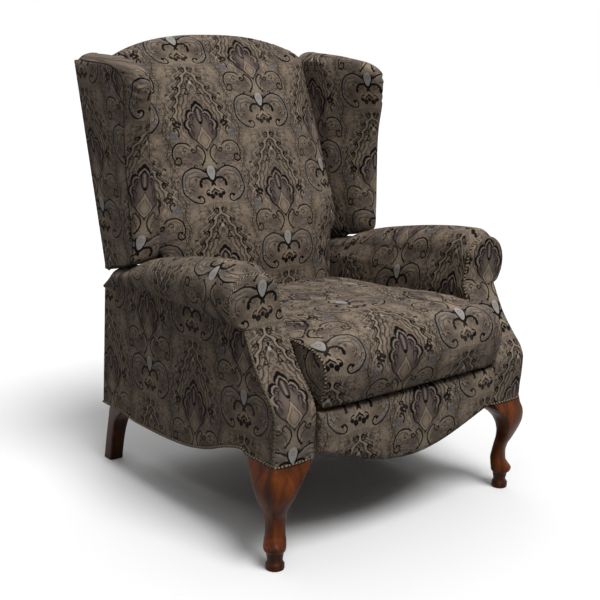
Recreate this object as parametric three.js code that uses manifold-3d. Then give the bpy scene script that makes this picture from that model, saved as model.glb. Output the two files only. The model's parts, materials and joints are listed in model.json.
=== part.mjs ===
// Wingback recliner on cabriole legs, with a push-back mechanism.
// Millimetres, +Z up, the chair faces -Y. Depths count rearward from the foot of the arm facings,
// heights from the floor. Left and right are as seen by someone who faces the chair.

import * as THREE from "three";
import { mergeVertices } from "three/addons/utils/BufferGeometryUtils.js";
import Module from "manifold-3d";

const wasm = await Module();
wasm.setup();

// Driving dimensions of the whole chair
const halfWidth = 372;
const armWidth = 100;
const backHeight = 1104;
const armHeight = 622;
const armNeckHeight = 511;
const frontLegHeight = 239;
const rearLegHeight = 180.7;
const sideDepth = 745;
const armTopDepth = 706;
const touchGap = 0.3;
const cutOverrun = 40;

// The arms: side panel, rolled top and facing
const rollSetback = 100;
const rollOverhang = 36;
const rollInnerLean = 12;
const rollMiddleShare = 0.477;
const rollSquareShare = 0.85;
const facingThickness = 14;
const facingCrown = 4;
const armPanelThickness = 36;
const armPanelInset = 30;
const armPanelLift = 2;
const armPanelSteps = 14;

// Each pair is a share of the height from leg to neck, then a share of the roll's setback
const facingCurveShares = [
  [0, 0], [0.12, -0.02], [0.24, -0.06], [0.38, -0.08], [0.463, 0], [0.577, 0.26],
  [0.72, 0.57], [0.868, 0.8], [0.96, 0.92], [1, 0.97], [1.06, 1],
];
// Share of the way from the roll's face to its rear end, then a share of the arm's height
const armTopShares = [
  [0, 1], [0.05, 1.03], [0.134, 1.027], [0.264, 1.016], [0.495, 0.984], [0.66, 0.952],
  [0.734, 0.928], [0.8, 0.902], [0.924, 0.883], [0.949, 0.857], [1, 0.809],
];
const armNeckShares = [[0, 1], [0.28, 1.016], [0.635, 1.018], [0.87, 0.99], [1, 0.96]];
const armOverhangShares = [[0, 0.92], [0.17, 1], [0.5, 0.83], [0.74, 0.55], [0.89, 0.28], [1, 0.14]];
// Share of the side panel's depth, then a share of the front leg's height
const sideHemShares = [
  [0, 1], [0.137, 1], [0.16, 1.03], [0.23, 0.983], [0.364, 0.837], [0.485, 0.766],
  [0.624, 0.736], [0.773, 0.729], [0.88, 0.7565], [1, 0.7565],
];
const panelLevelShares = [0, 0.14, 0.28, 0.4, 0.5, 0.6, 0.72, 0.86];
const rollLevelAngles = [-90, -62, -32, 0, 28, 48, 64, 78];
const coverStationShares = [
  0, 0.03, 0.07, 0.115, 0.14, 0.2, 0.28, 0.36, 0.48, 0.61, 0.7, 0.76, 0.8, 0.86, 0.924, 0.96, 1,
];

// The legs
const kneeBlock = 97;
const footWidth = 40;
const footOutward = 6;
const footRearward = 5;
const footShiftShare = 0.5;
// Share of the leg's height, outer ridge and inner corner along the diagonal, width across it and
// a squareness exponent; the lengths are shares of the knee block
const cabrioleShares = [
  [0, -0.206, -0.588, 0.412, 2], [0.034, -0.206, -0.577, 0.4, 2], [0.055, -0.226, -0.567, 0.37, 2],
  [0.09, -0.216, -0.588, 0.4, 2], [0.134, -0.144, -0.63, 0.46, 2], [0.18, -0.113, -0.634, 0.5, 2],
  [0.251, -0.206, -0.66, 0.495, 2], [0.318, -0.268, -0.66, 0.464, 2], [0.393, -0.278, -0.629, 0.454, 1.9],
  [0.473, -0.237, -0.588, 0.48, 1.8], [0.548, -0.134, -0.546, 0.536, 1.7], [0.619, -0.041, -0.531, 0.66, 1.6],
  [0.69, 0.041, -0.557, 0.825, 1.5], [0.77, 0.103, -0.639, 0.98, 1.38], [0.828, 0.113, -0.763, 1.093, 1.28],
  [0.887, 0.093, -0.98, 1.206, 1.18], [0.946, 0.031, -1.2, 1.32, 1.08], [1, 0, -1.31, 1.36, 1.02],
];
const cabrioleSides = 16;
const rearLegInset = 50;
const rearLegWidth = 60;
const rearFootWidth = 38;
const rearLegTopDepth = 73;
const rearFootSplay = 75;
const rearLegTaper = 33;
// Share of the leg's height, shares of the way that front and rear face sweep back to the foot, and
// share of the way from foot width to top width
const saberShares = [
  [0, 1, 1, 0], [0.2, 0.926, 0.867, 0.03], [0.4, 0.833, 0.72, 0.1], [0.553, 0.74, 0.587, 0.2],
  [0.67, 0.64, 0.48, 0.32], [0.758, 0.49, 0.387, 0.5], [0.858, 0.26, 0.267, 0.75],
  [0.94, 0.074, 0.107, 0.93], [1, 0, 0, 1],
];
const cornerShare = 0.82;

// The line of the back's rear face
const backRearDepth = 692;
const backLean = 13.2;
const backBendHeight = 556;
const outsideBackThickness = 10;
const frameThickness = 25;
const backSideHalfWidth = 290;
const backWaistHalfWidth = 264;
const backWaistTaper = 12;
const waistTopHeight = 560;
const waistBlend = 60;
const backBottomHeight = 385;
const postBottomHeight = 345;
const crestDrop = 52;
const crestPower = 2.5;
const crestLip = 32;
const crestRound = 3;
const crestReach = 50;
const backCornerPull = 6;
const crestDropLimitShare = 1.2;

// Heights as shares of the back's height, then the thickness along the side edge
const backThickness = 104;
const backThicknessShares = [
  [0.34, 0.978], [0.41, 0.998], [0.526, 1.034], [0.597, 1.091], [0.675, 0.946],
  [0.758, 0.866], [0.841, 0.707], [0.918, 0.533], [0.96, 0.231], [1, 0.105],
];
const backBulge = 40;
const backBulgeShares = [
  [0.34, 0.75], [0.41, 0.95], [0.55, 1], [0.675, 0.95], [0.841, 0.83], [0.918, 0.65], [0.96, 0.42], [1, 0.1],
];
const backLevelShares = [
  0, 0.03, 0.1, 0.19, 0.29, 0.39, 0.49, 0.59, 0.69, 0.78, 0.86, 0.925, 0.96, 0.985, 1,
];
const rearUpperSteps = 8;
const backStationShares = [0, 0.22, 0.44, 0.62, 0.78, 0.9, 0.97, 1];
const slabStationShares = [0, 0.25, 0.5, 0.75, 1];
const postHalfWidth = 258;
const postThickness = 32;
const lowerRailLift = 10;
const middleRailLift = 44;
const crossRailHeight = 60;
const topRailDrop = 119;

// The wings
const wingHalfWidth = 380;
const wingInnerHalfWidth = 296.3;
const wingPanelThickness = 18;
const wingPanelInset = 26;
const wingPanelFootShare = 0.083;
const wingShoulderShare = 0.956;
const wingInnerRound = 2;
const wingArmGap = 32;
const wingTopDrop = 47;
const wingRearDrop = 63;
const wingDepth = 290;
// Share of the wing's height, then how far seam and front lie before its rear (shares of the wing's
// depth), inner face (share of the wing's half width) and how far both faces draw in
const wingLevelShares = [
  [0, 0.031, 0.034, 0.86, 0], [0.0252, 0.112, 0.132, 0.85, 0], [0.0448, 0.323, 0.354, 0.845, 0],
  [0.0641, 0.429, 0.47, 0.84, 0], [0.0895, 0.485, 0.554, 0.82, 0], [0.2001, 0.526, 0.627, 0.802, 0],
  [0.3579, 0.561, 0.699, 0.818, 0], [0.5738, 0.622, 0.789, 0.858, 0], [0.7585, 0.714, 0.926, 0.87, 0],
  [0.8444, 0.756, 0.978, 0.868, 0], [0.8874, 0.768, 0.977, 0.866, 0], [0.9142, 0.725, 0.943, 0.862, 0],
  [0.9368, 0.661, 0.873, 0.855, 0], [0.9561, 0.53, 0.781, 0.848, 0.02], [0.969, 0.405, 0.667, 0.84, 0.07],
  [0.983, 0.315, 0.506, 0.83, 0.18], [0.9937, 0.2, 0.295, 0.825, 0.3], [1, 0.107, 0.131, 0.82, 0.42],
];
// Section of the wing as it goes round from the rear outer corner: share of the way from outer to
// inner face, then share of the way from rear to seam, from seam to front or from front to rear
const wingOuterShares = [[0, 0], [0, 0.5], [0, 0.96]];
const wingNoseShares = [[0.07, 0.45], [0.22, 0.86], [0.5, 1]];
const wingInnerShares = [[0.8, 0.03], [1, 0.13], [1.25, 0.36], [1.55, 0.6]];

// The seat
const seatSideGap = 9;
const seatFront = 26;
const seatRear = 546;
const seatRailTop = 338;
const seatRailHeight = 43;
const seatRailThickness = 24;
const seatRailHalfWidth = 252;
const seatRailFront = 46;
const seatRailRear = 540;
const springWire = 4;
const springCount = 5;
const springWaves = 7;
const springSwing = 26;
const springStepsPerWave = 6;
const deckThickness = 8;
const cushionHeight = 154;
const cushionNose = 18;
const cushionSideDrop = 15;
const cushionPull = 6;
// Share of the cushion's depth, share of its height, round the top from the front hem to the rear
const cushionTopShares = [
  [0, 0], [-0.012, 0.13], [-0.028, 0.28], [-0.036, 0.44], [-0.034, 0.62], [-0.018, 0.78],
  [0.012, 0.88], [0.06, 0.95], [0.13, 0.985], [0.22, 1], [0.34, 0.985], [0.48, 0.95],
  [0.64, 0.9], [0.8, 0.855], [0.93, 0.82], [0.985, 0.76], [1, 0.6], [1, 0.15],
];
const cushionStationShares = [0, 0.2, 0.4, 0.58, 0.74, 0.87, 0.95, 0.985, 1];

// The footrest board and its pad
const padHalfWidth = 268.5;
const padTop = 339;
const padCornerHeight = 89;
const padDip = 67;
const padThickness = 22;
const padCrown = 7;
const boardThickness = 15;
const boardInset = 6;
const padStationShares = [0, 0.15, 0.3, 0.45, 0.6, 0.75, 0.88, 0.96, 1];
const padLevelShares = [0, 0.12, 0.35, 0.65, 0.88, 1];

// Rails between the arms
const railThickness = 22;
const midRailDepth = 400;
const railFoot = 186;
const midRailHeight = 30;
const rearRailDepth = 700;
const rearRailHeight = 142;
const apronThickness = 12;

// Steel mechanism: the planes lie one plate and one gap apart, counted in from the arm
const plateThickness = 3;
const planePitch = plateThickness + touchGap;
const plateWidth = 34;
const linkWidth = 18;
const pinRadius = 4;
const runningGap = 0.35;
const openGap = 1.3;
const roundSides = 16;
const backPivot = [640, 430];
const backPivotRadius = 7;
const bracketReach = 115;
const bracketWidth = 24;
const swingTopDrop = 22.52;
const swingLean = 33;
const frontSwingFoot = [345, 240];
const swingSpread = 155;
const swingWidth = 24;
const swingPinRadius = 5;
const crossTubeRadius = 8;
// Pivots of the footrest linkage with the footrest folded
const pivotA = [42, 328];
const pivotB = [106, 328];
const pivotC = [221, 199];
const pivotD = [296, 218];
const pivotX = [285, 200];
const pivotE = [35, 300];
const pivotF = [65, 322];
const flangeWidth = 34;
const flangeHeight = 100;

// Places worked out from the sizes above
const armInner = halfWidth - armWidth;
const seatHalfWidth = armInner - seatSideGap;
const plane = (n) => armInner - touchGap - plateThickness - n * planePitch;
const deckBottom = seatRailTop + springWire + 2 * touchGap;
const cushionBottom = deckBottom + deckThickness + touchGap;
const seatDepth = seatRear + seatFront;
const rearLegFrontDepth = sideDepth - rearLegTopDepth;
const rearFootDepth = sideDepth + rearFootSplay;
const chairMiddle = (rearFootDepth - seatFront - cushionNose) / 2;
const leanSlope = Math.tan(THREE.MathUtils.degToRad(backLean));
const wingFootHeight = armNeckHeight + wingArmGap;
const wingHeight = (share) => mix(wingFootHeight, backHeight - wingTopDrop, share);
const topRailFoot = backHeight - topRailDrop;

// Materials
const finish = (color, roughness, metalness = 0) =>
  new THREE.MeshStandardMaterial({ color, roughness, metalness });
const fabric = () => finish(0x5f574c, 0.85);
const lining = () => finish(0x1d1b1a, 0.95);
const cherryWood = () => finish(0x4a1c0e, 0.25);
const frameWood = () => finish(0xb08a5c, 0.7);
const steel = () => finish(0x3a3c40, 0.4, 0.9);

// Helpers for curves and closed meshes
function mix(a, b, share) {
  return a + (b - a) * share;
}

// Smooth curve through a table of [place, value], with no overshoot between its points
function follow(table, place, column = 1) {
  const last = table.length - 1;
  if (place <= table[0][0]) return table[0][column];
  if (place >= table[last][0]) return table[last][column];
  let i = 0;
  while (place > table[i + 1][0]) i += 1;
  const slope = (k) => (table[k + 1][column] - table[k][column]) / (table[k + 1][0] - table[k][0]);
  const tangent = (k) => {
    if (k === 0) return slope(0);
    if (k === last) return slope(last - 1);
    const before = slope(k - 1);
    const after = slope(k);
    return before * after <= 0 ? 0 : (2 * before * after) / (before + after);
  };
  const span = table[i + 1][0] - table[i][0];
  const t = (place - table[i][0]) / span;
  const t2 = t * t;
  const t3 = t2 * t;
  return table[i][column] * (2 * t3 - 3 * t2 + 1) + tangent(i) * span * (t3 - 2 * t2 + t)
    + table[i + 1][column] * (3 * t2 - 2 * t3) + tangent(i + 1) * span * (t3 - t2);
}

function volumeOf(points, faces) {
  let total = 0;
  for (const [a, b, c] of faces) {
    const cross = points[b].clone().cross(points[c]);
    total += points[a].dot(cross) / 6;
  }
  return total;
}

function closedGeometry(points, faces) {
  const outward = volumeOf(points, faces) > 0 ? faces : faces.map(([a, b, c]) => [a, c, b]);
  const geometry = new THREE.BufferGeometry();
  geometry.setAttribute("position", new THREE.Float32BufferAttribute(points.flatMap((p) => p.toArray()), 3));
  geometry.setIndex(outward.flat());
  return geometry;
}

// Skin over rings of equal count. In each ring point i faces point n-1-i, and the ends are closed
// by strips between such pairs.
function loft(rings) {
  const n = rings[0].length;
  const points = rings.flat();
  const faces = [];
  for (let r = 0; r + 1 < rings.length; r += 1) {
    for (let i = 0; i < n; i += 1) {
      const a = r * n + i;
      const b = r * n + ((i + 1) % n);
      faces.push([a, b, b + n], [a, b + n, a + n]);
    }
  }
  const strip = (base, flip) => {
    for (let i = 0; i + 1 < n / 2; i += 1) {
      const [a, b, c, d] = [base + i, base + i + 1, base + n - 2 - i, base + n - 1 - i];
      faces.push(...(flip ? [[a, c, d], [a, b, c]] : [[a, d, c], [a, c, b]]));
    }
  };
  strip(0, false);
  strip((rings.length - 1) * n, true);
  return closedGeometry(points, faces);
}

function mirrored(geometry) {
  const copy = geometry.clone();
  copy.scale(-1, 1, 1);
  const index = copy.index ? [...copy.index.array] : [...Array(copy.attributes.position.count).keys()];
  for (let i = 0; i < index.length; i += 3) [index[i + 1], index[i + 2]] = [index[i + 2], index[i + 1]];
  copy.setIndex(index);
  return copy;
}

function toSolid(geometry) {
  const bare = geometry.clone();
  bare.deleteAttribute("normal");
  bare.deleteAttribute("uv");
  const merged = mergeVertices(bare);
  return new wasm.Manifold(new wasm.Mesh({
    numProp: 3,
    vertProperties: new Float32Array(merged.attributes.position.array),
    triVerts: new Uint32Array(merged.index.array),
  }));
}

function toGeometry(solid) {
  const mesh = solid.getMesh();
  const geometry = new THREE.BufferGeometry();
  geometry.setAttribute("position", new THREE.BufferAttribute(new Float32Array(mesh.vertProperties), 3));
  geometry.setIndex([...mesh.triVerts]);
  return geometry;
}

function combined(start, { add = [], cut = [] }) {
  let solid = toSolid(start);
  for (const piece of add) solid = solid.add(toSolid(piece));
  for (const piece of cut) solid = solid.subtract(toSolid(piece));
  return toGeometry(solid);
}

// Flat plate from an outline of [depth, height] pairs, between two places across the chair
function sidePlate(outline, near, far) {
  const shape = new THREE.Shape(outline.map(([y, z]) => new THREE.Vector2(y, z)));
  const geometry = new THREE.ExtrudeGeometry(shape, { depth: far - near, bevelEnabled: false });
  geometry.rotateY(Math.PI / 2);
  geometry.rotateX(Math.PI / 2);
  geometry.translate(near, 0, 0);
  return geometry;
}

// Round pin or hole across the chair
function crossPin([y, z], radius, near, far, sides = roundSides) {
  const geometry = new THREE.CylinderGeometry(radius, radius, far - near, sides);
  geometry.rotateZ(Math.PI / 2);
  geometry.translate((near + far) / 2, y, z);
  return geometry;
}

// Round-ended bar between two pivots
function bar(from, to, width, near, far) {
  const angle = Math.atan2(to[1] - from[1], to[0] - from[0]);
  const outline = [];
  for (const [centre, start] of [[to, angle - Math.PI / 2], [from, angle + Math.PI / 2]]) {
    for (let i = 0; i <= roundSides / 2; i += 1) {
      const turn = start + (Math.PI * i) / (roundSides / 2);
      outline.push([centre[0] + (width / 2) * Math.cos(turn), centre[1] + (width / 2) * Math.sin(turn)]);
    }
  }
  return sidePlate(outline, near, far);
}

function block(x0, x1, y0, y1, z0, z1) {
  const geometry = new THREE.BoxGeometry(x1 - x0, y1 - y0, z1 - z0);
  geometry.translate((x0 + x1) / 2, (y0 + y1) / 2, (z0 + z1) / 2);
  return geometry;
}

const at = (x, y, z) => new THREE.Vector3(x, y, z);
const mirrorShares = (shares) => [...shares.slice(1).reverse().map((s) => -s), ...shares];

// Lines that several pieces follow
const facingDepth = (z) =>
  rollSetback * follow(facingCurveShares, (z - frontLegHeight) / (armNeckHeight - frontLegHeight));
const hemHeight = (y) => touchGap + frontLegHeight * follow(sideHemShares, y / sideDepth);
const backRear = (z) => backRearDepth + Math.max(0, z - backBendHeight) * leanSlope;
const crestHeight = (x) =>
  backHeight - crestDrop * Math.min(crestDropLimitShare, (Math.abs(x) / backSideHalfWidth) ** crestPower);
const sideRear = (z) =>
  sideDepth - (sideDepth - armTopDepth) * ((z - rearLegHeight) / (armNeckHeight - rearLegHeight));

// One level of the arm at a share of the way along the roll: heights and the two faces
function armLevels(share, hem) {
  const neck = armNeckHeight * follow(armNeckShares, share);
  const top = armHeight * follow(armTopShares, share);
  const overhang = rollOverhang * follow(armOverhangShares, share);
  const middle = mix(neck, top, rollMiddleShare);
  const inner = armInner + rollInnerLean;
  const outer = halfWidth + overhang;
  const crown = (inner + outer) / 2;
  const levels = panelLevelShares.map((s) => ({ z: mix(hem, neck, s), inner: armInner, outer: halfWidth }));
  for (const degrees of rollLevelAngles) {
    const a = THREE.MathUtils.degToRad(degrees);
    const rise = Math.sin(a);
    if (degrees < 0) {
      const reach = Math.cos(a);
      levels.push({
        z: middle + (middle - neck) * rise,
        inner: armInner + rollInnerLean * (1 + rise),
        outer: halfWidth + overhang * reach,
      });
    } else {
      const reach = Math.cos(a) ** rollSquareShare;
      levels.push({
        z: middle + (top - middle) * rise,
        inner: crown - (crown - inner) * reach,
        outer: crown + (outer - crown) * reach,
      });
    }
  }
  return levels;
}

// Arm cover: rings at each level run back along the inner face and forward along the outer face
function armCover() {
  const stations = coverStationShares.map((share) => {
    const front = facingDepth(frontLegHeight) + facingThickness + touchGap;
    const hem = hemHeight(mix(front, sideDepth, share));
    return { share, levels: armLevels(share, hem) };
  });
  const rings = stations[0].levels.map((_, k) => {
    const place = ({ share, levels }, side) => {
      const level = levels[k];
      const front = facingDepth(level.z) + facingThickness + touchGap;
      return at(level[side], mix(front, sideRear(level.z), share), level.z);
    };
    return [
      ...stations.map((s) => place(s, "inner")),
      ...[...stations].reverse().map((s) => place(s, "outer")),
    ];
  });
  const pocket = armPanel(touchGap, cutOverrun);
  return combined(loft(rings), { cut: [pocket] });
}

// Wooden panel inside the arm; a margin widens it for the pocket that it stands in
function armPanel(margin, below) {
  const front = facingThickness + armPanelInset;
  const frontEnd = front - margin;
  const rearEnd = sideDepth - armPanelInset + margin;
  const hem = (y) => hemHeight(y) + armPanelLift;
  const outline = [];
  if (below > 0) {
    const foot = hem(frontEnd);
    outline.push([frontEnd, foot], [frontEnd, foot - below], [rearEnd, hem(rearEnd) - below]);
  } else {
    for (let i = 0; i < armPanelSteps; i += 1) {
      const y = mix(frontEnd, rearEnd, i / armPanelSteps);
      outline.push([y, hem(y)]);
    }
  }
  outline.push([rearEnd, hem(rearEnd)]);
  const heights = [0.45, 1];
  for (const share of heights) {
    const z = mix(rearLegHeight, armNeckHeight - armPanelInset, share) + (share === 1 ? margin : 0);
    outline.push([sideRear(z) - armPanelInset + margin, z]);
  }
  const topShoulder = armNeckHeight + armPanelInset;
  outline.push([mix(rollSetback, armTopDepth, 0.7), topShoulder + margin]);
  outline.push([rollSetback + front - margin, topShoulder + margin]);
  for (const share of [...panelLevelShares].reverse().slice(0, -1)) {
    const z = mix(frontLegHeight, armNeckHeight, share);
    outline.push([facingDepth(z) + front - margin, z]);
  }
  const middle = halfWidth - armWidth / 2;
  const half = armPanelThickness / 2 + margin;
  return sidePlate(outline, middle - half, middle + half);
}

// Facing: a thin curved front with a slight crown, ringed level by level
function armFacing() {
  const across = [0, 0.12, 0.5, 0.88, 1];
  const rings = armLevels(0, frontLegHeight + touchGap).map(({ z, inner, outer }) => {
    const y = facingDepth(z);
    const front = across.map((s) => at(mix(inner, outer, s), y - facingCrown * (1 - (2 * s - 1) ** 2), z));
    const rear = [...across].reverse().map((s) => at(mix(inner, outer, s), y + facingThickness, z));
    return [...front, ...rear];
  });
  return loft(rings);
}

// Cabriole leg: the section grows from a round foot to a square knee whose corner leads
function frontLeg() {
  const diagonal = at(Math.SQRT1_2, -Math.SQRT1_2, 0);
  const across = at(Math.SQRT1_2, Math.SQRT1_2, 0);
  const corner = at(halfWidth, 0, 0);
  const rings = cabrioleShares.map(([height, ridge, heel, width, power]) => {
    const middle = (kneeBlock * (ridge + heel)) / 2;
    const reach = (kneeBlock * (ridge - heel)) / 2;
    const spread = (kneeBlock * width) / 2;
    const ring = [];
    for (let i = 0; i < cabrioleSides; i += 1) {
      const turn = (2 * Math.PI * (i + 0.5)) / cabrioleSides - Math.PI / 2;
      const bend = (v) => Math.sign(v) * Math.abs(v) ** (2 / power);
      const point = corner.clone()
        .addScaledVector(diagonal, middle + reach * bend(Math.cos(turn)))
        .addScaledVector(across, spread * bend(Math.sin(turn)));
      const shift = Math.min(1, (1 - height) / footShiftShare);
      point.x += shift * footOutward;
      point.y += shift * footRearward;
      point.z = height * frontLegHeight;
      ring.push(point);
    }
    return ring;
  });
  return loft(rings);
}

// Rear leg: square in section, sweeping back to its foot
function rearLeg() {
  const x = halfWidth - rearLegInset;
  const rings = saberShares.map(([height, frontSweep, rearSweep, grow]) => {
    const width = mix(rearFootWidth, rearLegWidth, grow);
    const front = rearLegFrontDepth + (rearFootSplay + rearLegTaper) * frontSweep;
    const depth = rearLegFrontDepth + rearLegTopDepth + rearFootSplay * rearSweep - front;
    const corners = [
      [-1, -cornerShare], [-cornerShare, -1], [cornerShare, -1], [1, -cornerShare],
      [1, cornerShare], [cornerShare, 1], [-cornerShare, 1], [-1, cornerShare],
    ];
    return corners.map(([across, along]) =>
      at(x + (across * width) / 2, front + (depth * (1 + along)) / 2, height * rearLegHeight));
  });
  return loft(rings);
}

// Seat cushion: rings across the chair, round over the nose and flat underneath
function seatCushion() {
  const rings = mirrorShares(cushionStationShares).map((share) => {
    const edge = Math.abs(share) ** 6;
    const crown = Math.abs(share) ** 2.5;
    const top = cushionTopShares.map(([depth, height]) => {
      const y = -seatFront + depth * seatDepth + edge * cushionNose * (0.5 - depth) * 1.2;
      const drop = cushionSideDrop * (crown * 0.6 + edge) * height;
      const pull = cushionPull * edge * Math.sin(Math.PI * THREE.MathUtils.clamp(depth, 0, 1));
      const x = share * seatHalfWidth - Math.sign(share) * pull;
      return at(x, y, cushionBottom + height * cushionHeight - drop + edge * touchGap);
    });
    const bottom = [...cushionTopShares].reverse().map(([depth]) => {
      const inside = mix(0.01, 0.985, THREE.MathUtils.clamp(depth, 0, 1));
      const y = -seatFront + inside * seatDepth + edge * cushionNose * (0.5 - inside);
      return at(share * (seatHalfWidth - edge * cushionPull), y, cushionBottom);
    });
    return [...top, ...bottom];
  });
  return loft(rings);
}

// Back cushion: crowned front, a lip over the top rail and a waist between the arms
function backCushion() {
  const edgeDepth = (z) => backRear(z) - backThickness * follow(backThicknessShares, z / backHeight);
  const bulge = (z) => backBulge * follow(backBulgeShares, z / backHeight);
  const rearDepth = (z) => backRear(z) - outsideBackThickness - frameThickness - 3 * touchGap;
  const half = (z, waist) => {
    const t = THREE.MathUtils.clamp((z - waistTopHeight) / waistBlend, 0, 1);
    return mix(waist, backSideHalfWidth, t * t * (3 - 2 * t));
  };
  const rings = mirrorShares(backStationShares).map((share) => {
    const across = Math.abs(share);
    const top = crestHeight(share * backSideHalfWidth);
    const round = across ** 8;
    const front = backLevelShares.map((s) => {
      const z = mix(backBottomHeight, top - touchGap, s);
      const face = Math.min(z, top - crestReach);
      const plain = edgeDepth(face) - bulge(face) * (1 - across ** 2.4) + round * backCornerPull;
      const ridge = backRear(top) - outsideBackThickness - touchGap - frameThickness / 2;
      const over = Math.min(1, (z - face) / (crestReach - touchGap));
      const y = mix(plain + (z - face) * leanSlope, ridge, 1 - Math.sqrt(1 - over ** 2));
      return at(share * half(z, backWaistHalfWidth), y, z - round * crestRound);
    });
    const lip = top - crestLip;
    const lowerSteps = backLevelShares.length - 3 - rearUpperSteps;
    const rear = backLevelShares.map((_, i) => {
      const step = i - 2;
      let z = mix(lip - touchGap, backBendHeight, step / rearUpperSteps);
      if (i === 0) z = top - crestRound * (1 + round);
      if (i === 1) z = lip;
      if (step > rearUpperSteps) {
        z = mix(backBendHeight, backBottomHeight, (step - rearUpperSteps) / lowerSteps);
      }
      const y = i < 2 ? backRear(z) - outsideBackThickness - touchGap : rearDepth(z);
      return at(share * half(z, backWaistHalfWidth - backWaistTaper), y, z);
    });
    return [...front, ...rear];
  });
  return loft(rings);
}

// Outside back: a bent panel, narrow between the arms and wide behind the wings
function outsideBack() {
  const foot = postBottomHeight - outsideBackThickness;
  const wingFoot = wingFootHeight - touchGap;
  const wingTop = backHeight - wingRearDrop;
  const slab = (halfAcross, low, levels, topAt) => {
    return loft(mirrorShares(slabStationShares).map((share) => {
      const x = share * halfAcross;
      const zs = levels.map((s) => mix(low, topAt(x), s));
      return [
        ...zs.map((z) => at(x, backRear(z), z)),
        ...[...zs].reverse().map((z) => at(x, backRear(z) - outsideBackThickness, z)),
      ];
    }));
  };
  const bent = (low) => [0, (backBendHeight - low) / (wingTop - low), 1];
  const middle = slab(backWaistHalfWidth, foot, bent(foot), () => wingTop);
  const wide = slab(wingHalfWidth - touchGap, wingFoot, bent(wingFoot), () => wingTop);
  const underCrest = (x) => crestHeight(x) - 2 * crestRound - touchGap;
  const crest = slab(backSideHalfWidth, wingTop - crestLip, [0, 0.5, 1], underCrest);
  return combined(middle, { add: [wide, crest] });
}

// Board that leans with the back, between two heights
function leaningBoard(x0, x1, z0, z1) {
  const zs = z0 < backBendHeight && z1 > backBendHeight ? [z0, backBendHeight, z1] : [z0, z1];
  return loft([x0, x1].map((x) => [
    ...zs.map((z) => at(x, backRear(z) - outsideBackThickness - touchGap, z)),
    ...[...zs].reverse().map((z) => at(x, backRear(z) - outsideBackThickness - touchGap - frameThickness, z)),
  ]));
}

// Top rail: its upper edge follows the crest
function topRail() {
  const ends = (wingInnerHalfWidth - touchGap) / backSideHalfWidth;
  return loft(mirrorShares([...backStationShares, ends]).map((share) => {
    const x = share * backSideHalfWidth;
    const crest = crestHeight(Math.min(Math.abs(x), backSideHalfWidth));
    const zs = [topRailFoot, crest - crestLip - 3 * touchGap];
    const rear = (z) => backRear(z) - outsideBackThickness - touchGap;
    return [
      ...zs.map((z) => at(x, rear(z), z)),
      ...[...zs].reverse().map((z) => at(x, rear(z) - frameThickness, z)),
    ];
  }));
}

// Wing: rings at each level run forward along the outer face and back along the inner one
function wing() {
  const width = wingHalfWidth - wingInnerHalfWidth;
  const rings = wingLevelShares.map(([height, seamShare, frontShare, innerShare, drawn]) => {
    const z = wingHeight(height);
    const rear = backRear(z) - outsideBackThickness - touchGap;
    const seam = rear - seamShare * wingDepth;
    const front = rear - frontShare * wingDepth;
    const outside = wingHalfWidth - drawn * width;
    const root = wingInnerHalfWidth + drawn * width;
    const inside = Math.max(innerShare * wingHalfWidth, root + wingInnerRound);
    const run = (shares, from, to) => shares.map(([across, along]) => {
      const x = across > 1 ? mix(inside, root, 2 * (across - 1)) : mix(outside, inside, across);
      return at(Math.max(x, root), mix(from, to, along), z);
    });
    return [
      ...run(wingOuterShares, rear, seam), ...run(wingNoseShares, seam, front),
      ...run(wingInnerShares, front, rear), at(root, mix(front, rear, 0.85), z), at(root, rear, z),
    ];
  });
  return combined(loft(rings), { cut: [wingPanel(touchGap, cutOverrun)] });
}

// Plywood panel inside the wing, let in from the rear
function wingPanel(margin, behind) {
  const low = wingHeight(wingPanelFootShare) + wingPanelInset - margin;
  const high = wingHeight(wingShoulderShare) - wingPanelInset + margin;
  const bend = low < backBendHeight && backBendHeight < high ? [backBendHeight] : [];
  const rear = (z) => backRear(z) - outsideBackThickness - touchGap;
  const outline = [low, ...bend, high].map((z) => [rear(z) + behind, z]);
  for (const z of [high, mix(low, high, 0.5), low]) {
    const share = (z - wingFootHeight) / (wingHeight(1) - wingFootHeight);
    const seam = rear(z) - wingDepth * follow(wingLevelShares, share, 1);
    outline.push([seam + wingPanelInset - 3 * margin, z]);
  }
  const outer = wingHalfWidth - wingPanelInset / 2;
  return sidePlate(outline, outer - wingPanelThickness - margin, outer + margin);
}

// Lower edge of the footrest: high at the corners, dipping in the middle
const padFoot = (share) =>
  padTop - padCornerHeight - padDip * Math.cos((Math.PI * share) / 2) ** 1.2;

function footrestPad() {
  const rings = mirrorShares(padStationShares).map((share) => {
    const round = Math.abs(share) ** 10;
    const foot = padFoot(share);
    const zs = padLevelShares.map((s) => mix(foot, padTop, s));
    const depth = (s) => padThickness + padCrown * (4 * s * (1 - s) - 1) - round * padCrown;
    const x = share * padHalfWidth;
    return [
      ...zs.map((z, i) => at(x, -Math.max(padThickness / 3, depth(padLevelShares[i])), z)),
      ...[...zs].reverse().map((z) => at(x, -touchGap, z)),
    ];
  });
  return loft(rings);
}

function footrestBoard() {
  const rings = mirrorShares(padStationShares).map((share) => {
    const x = share * (padHalfWidth - boardInset);
    const low = padFoot(share) + boardInset;
    const high = padTop - boardInset;
    return [at(x, 0, low), at(x, 0, high), at(x, boardThickness, high), at(x, boardThickness, low)];
  });
  return loft(rings);
}

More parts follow.
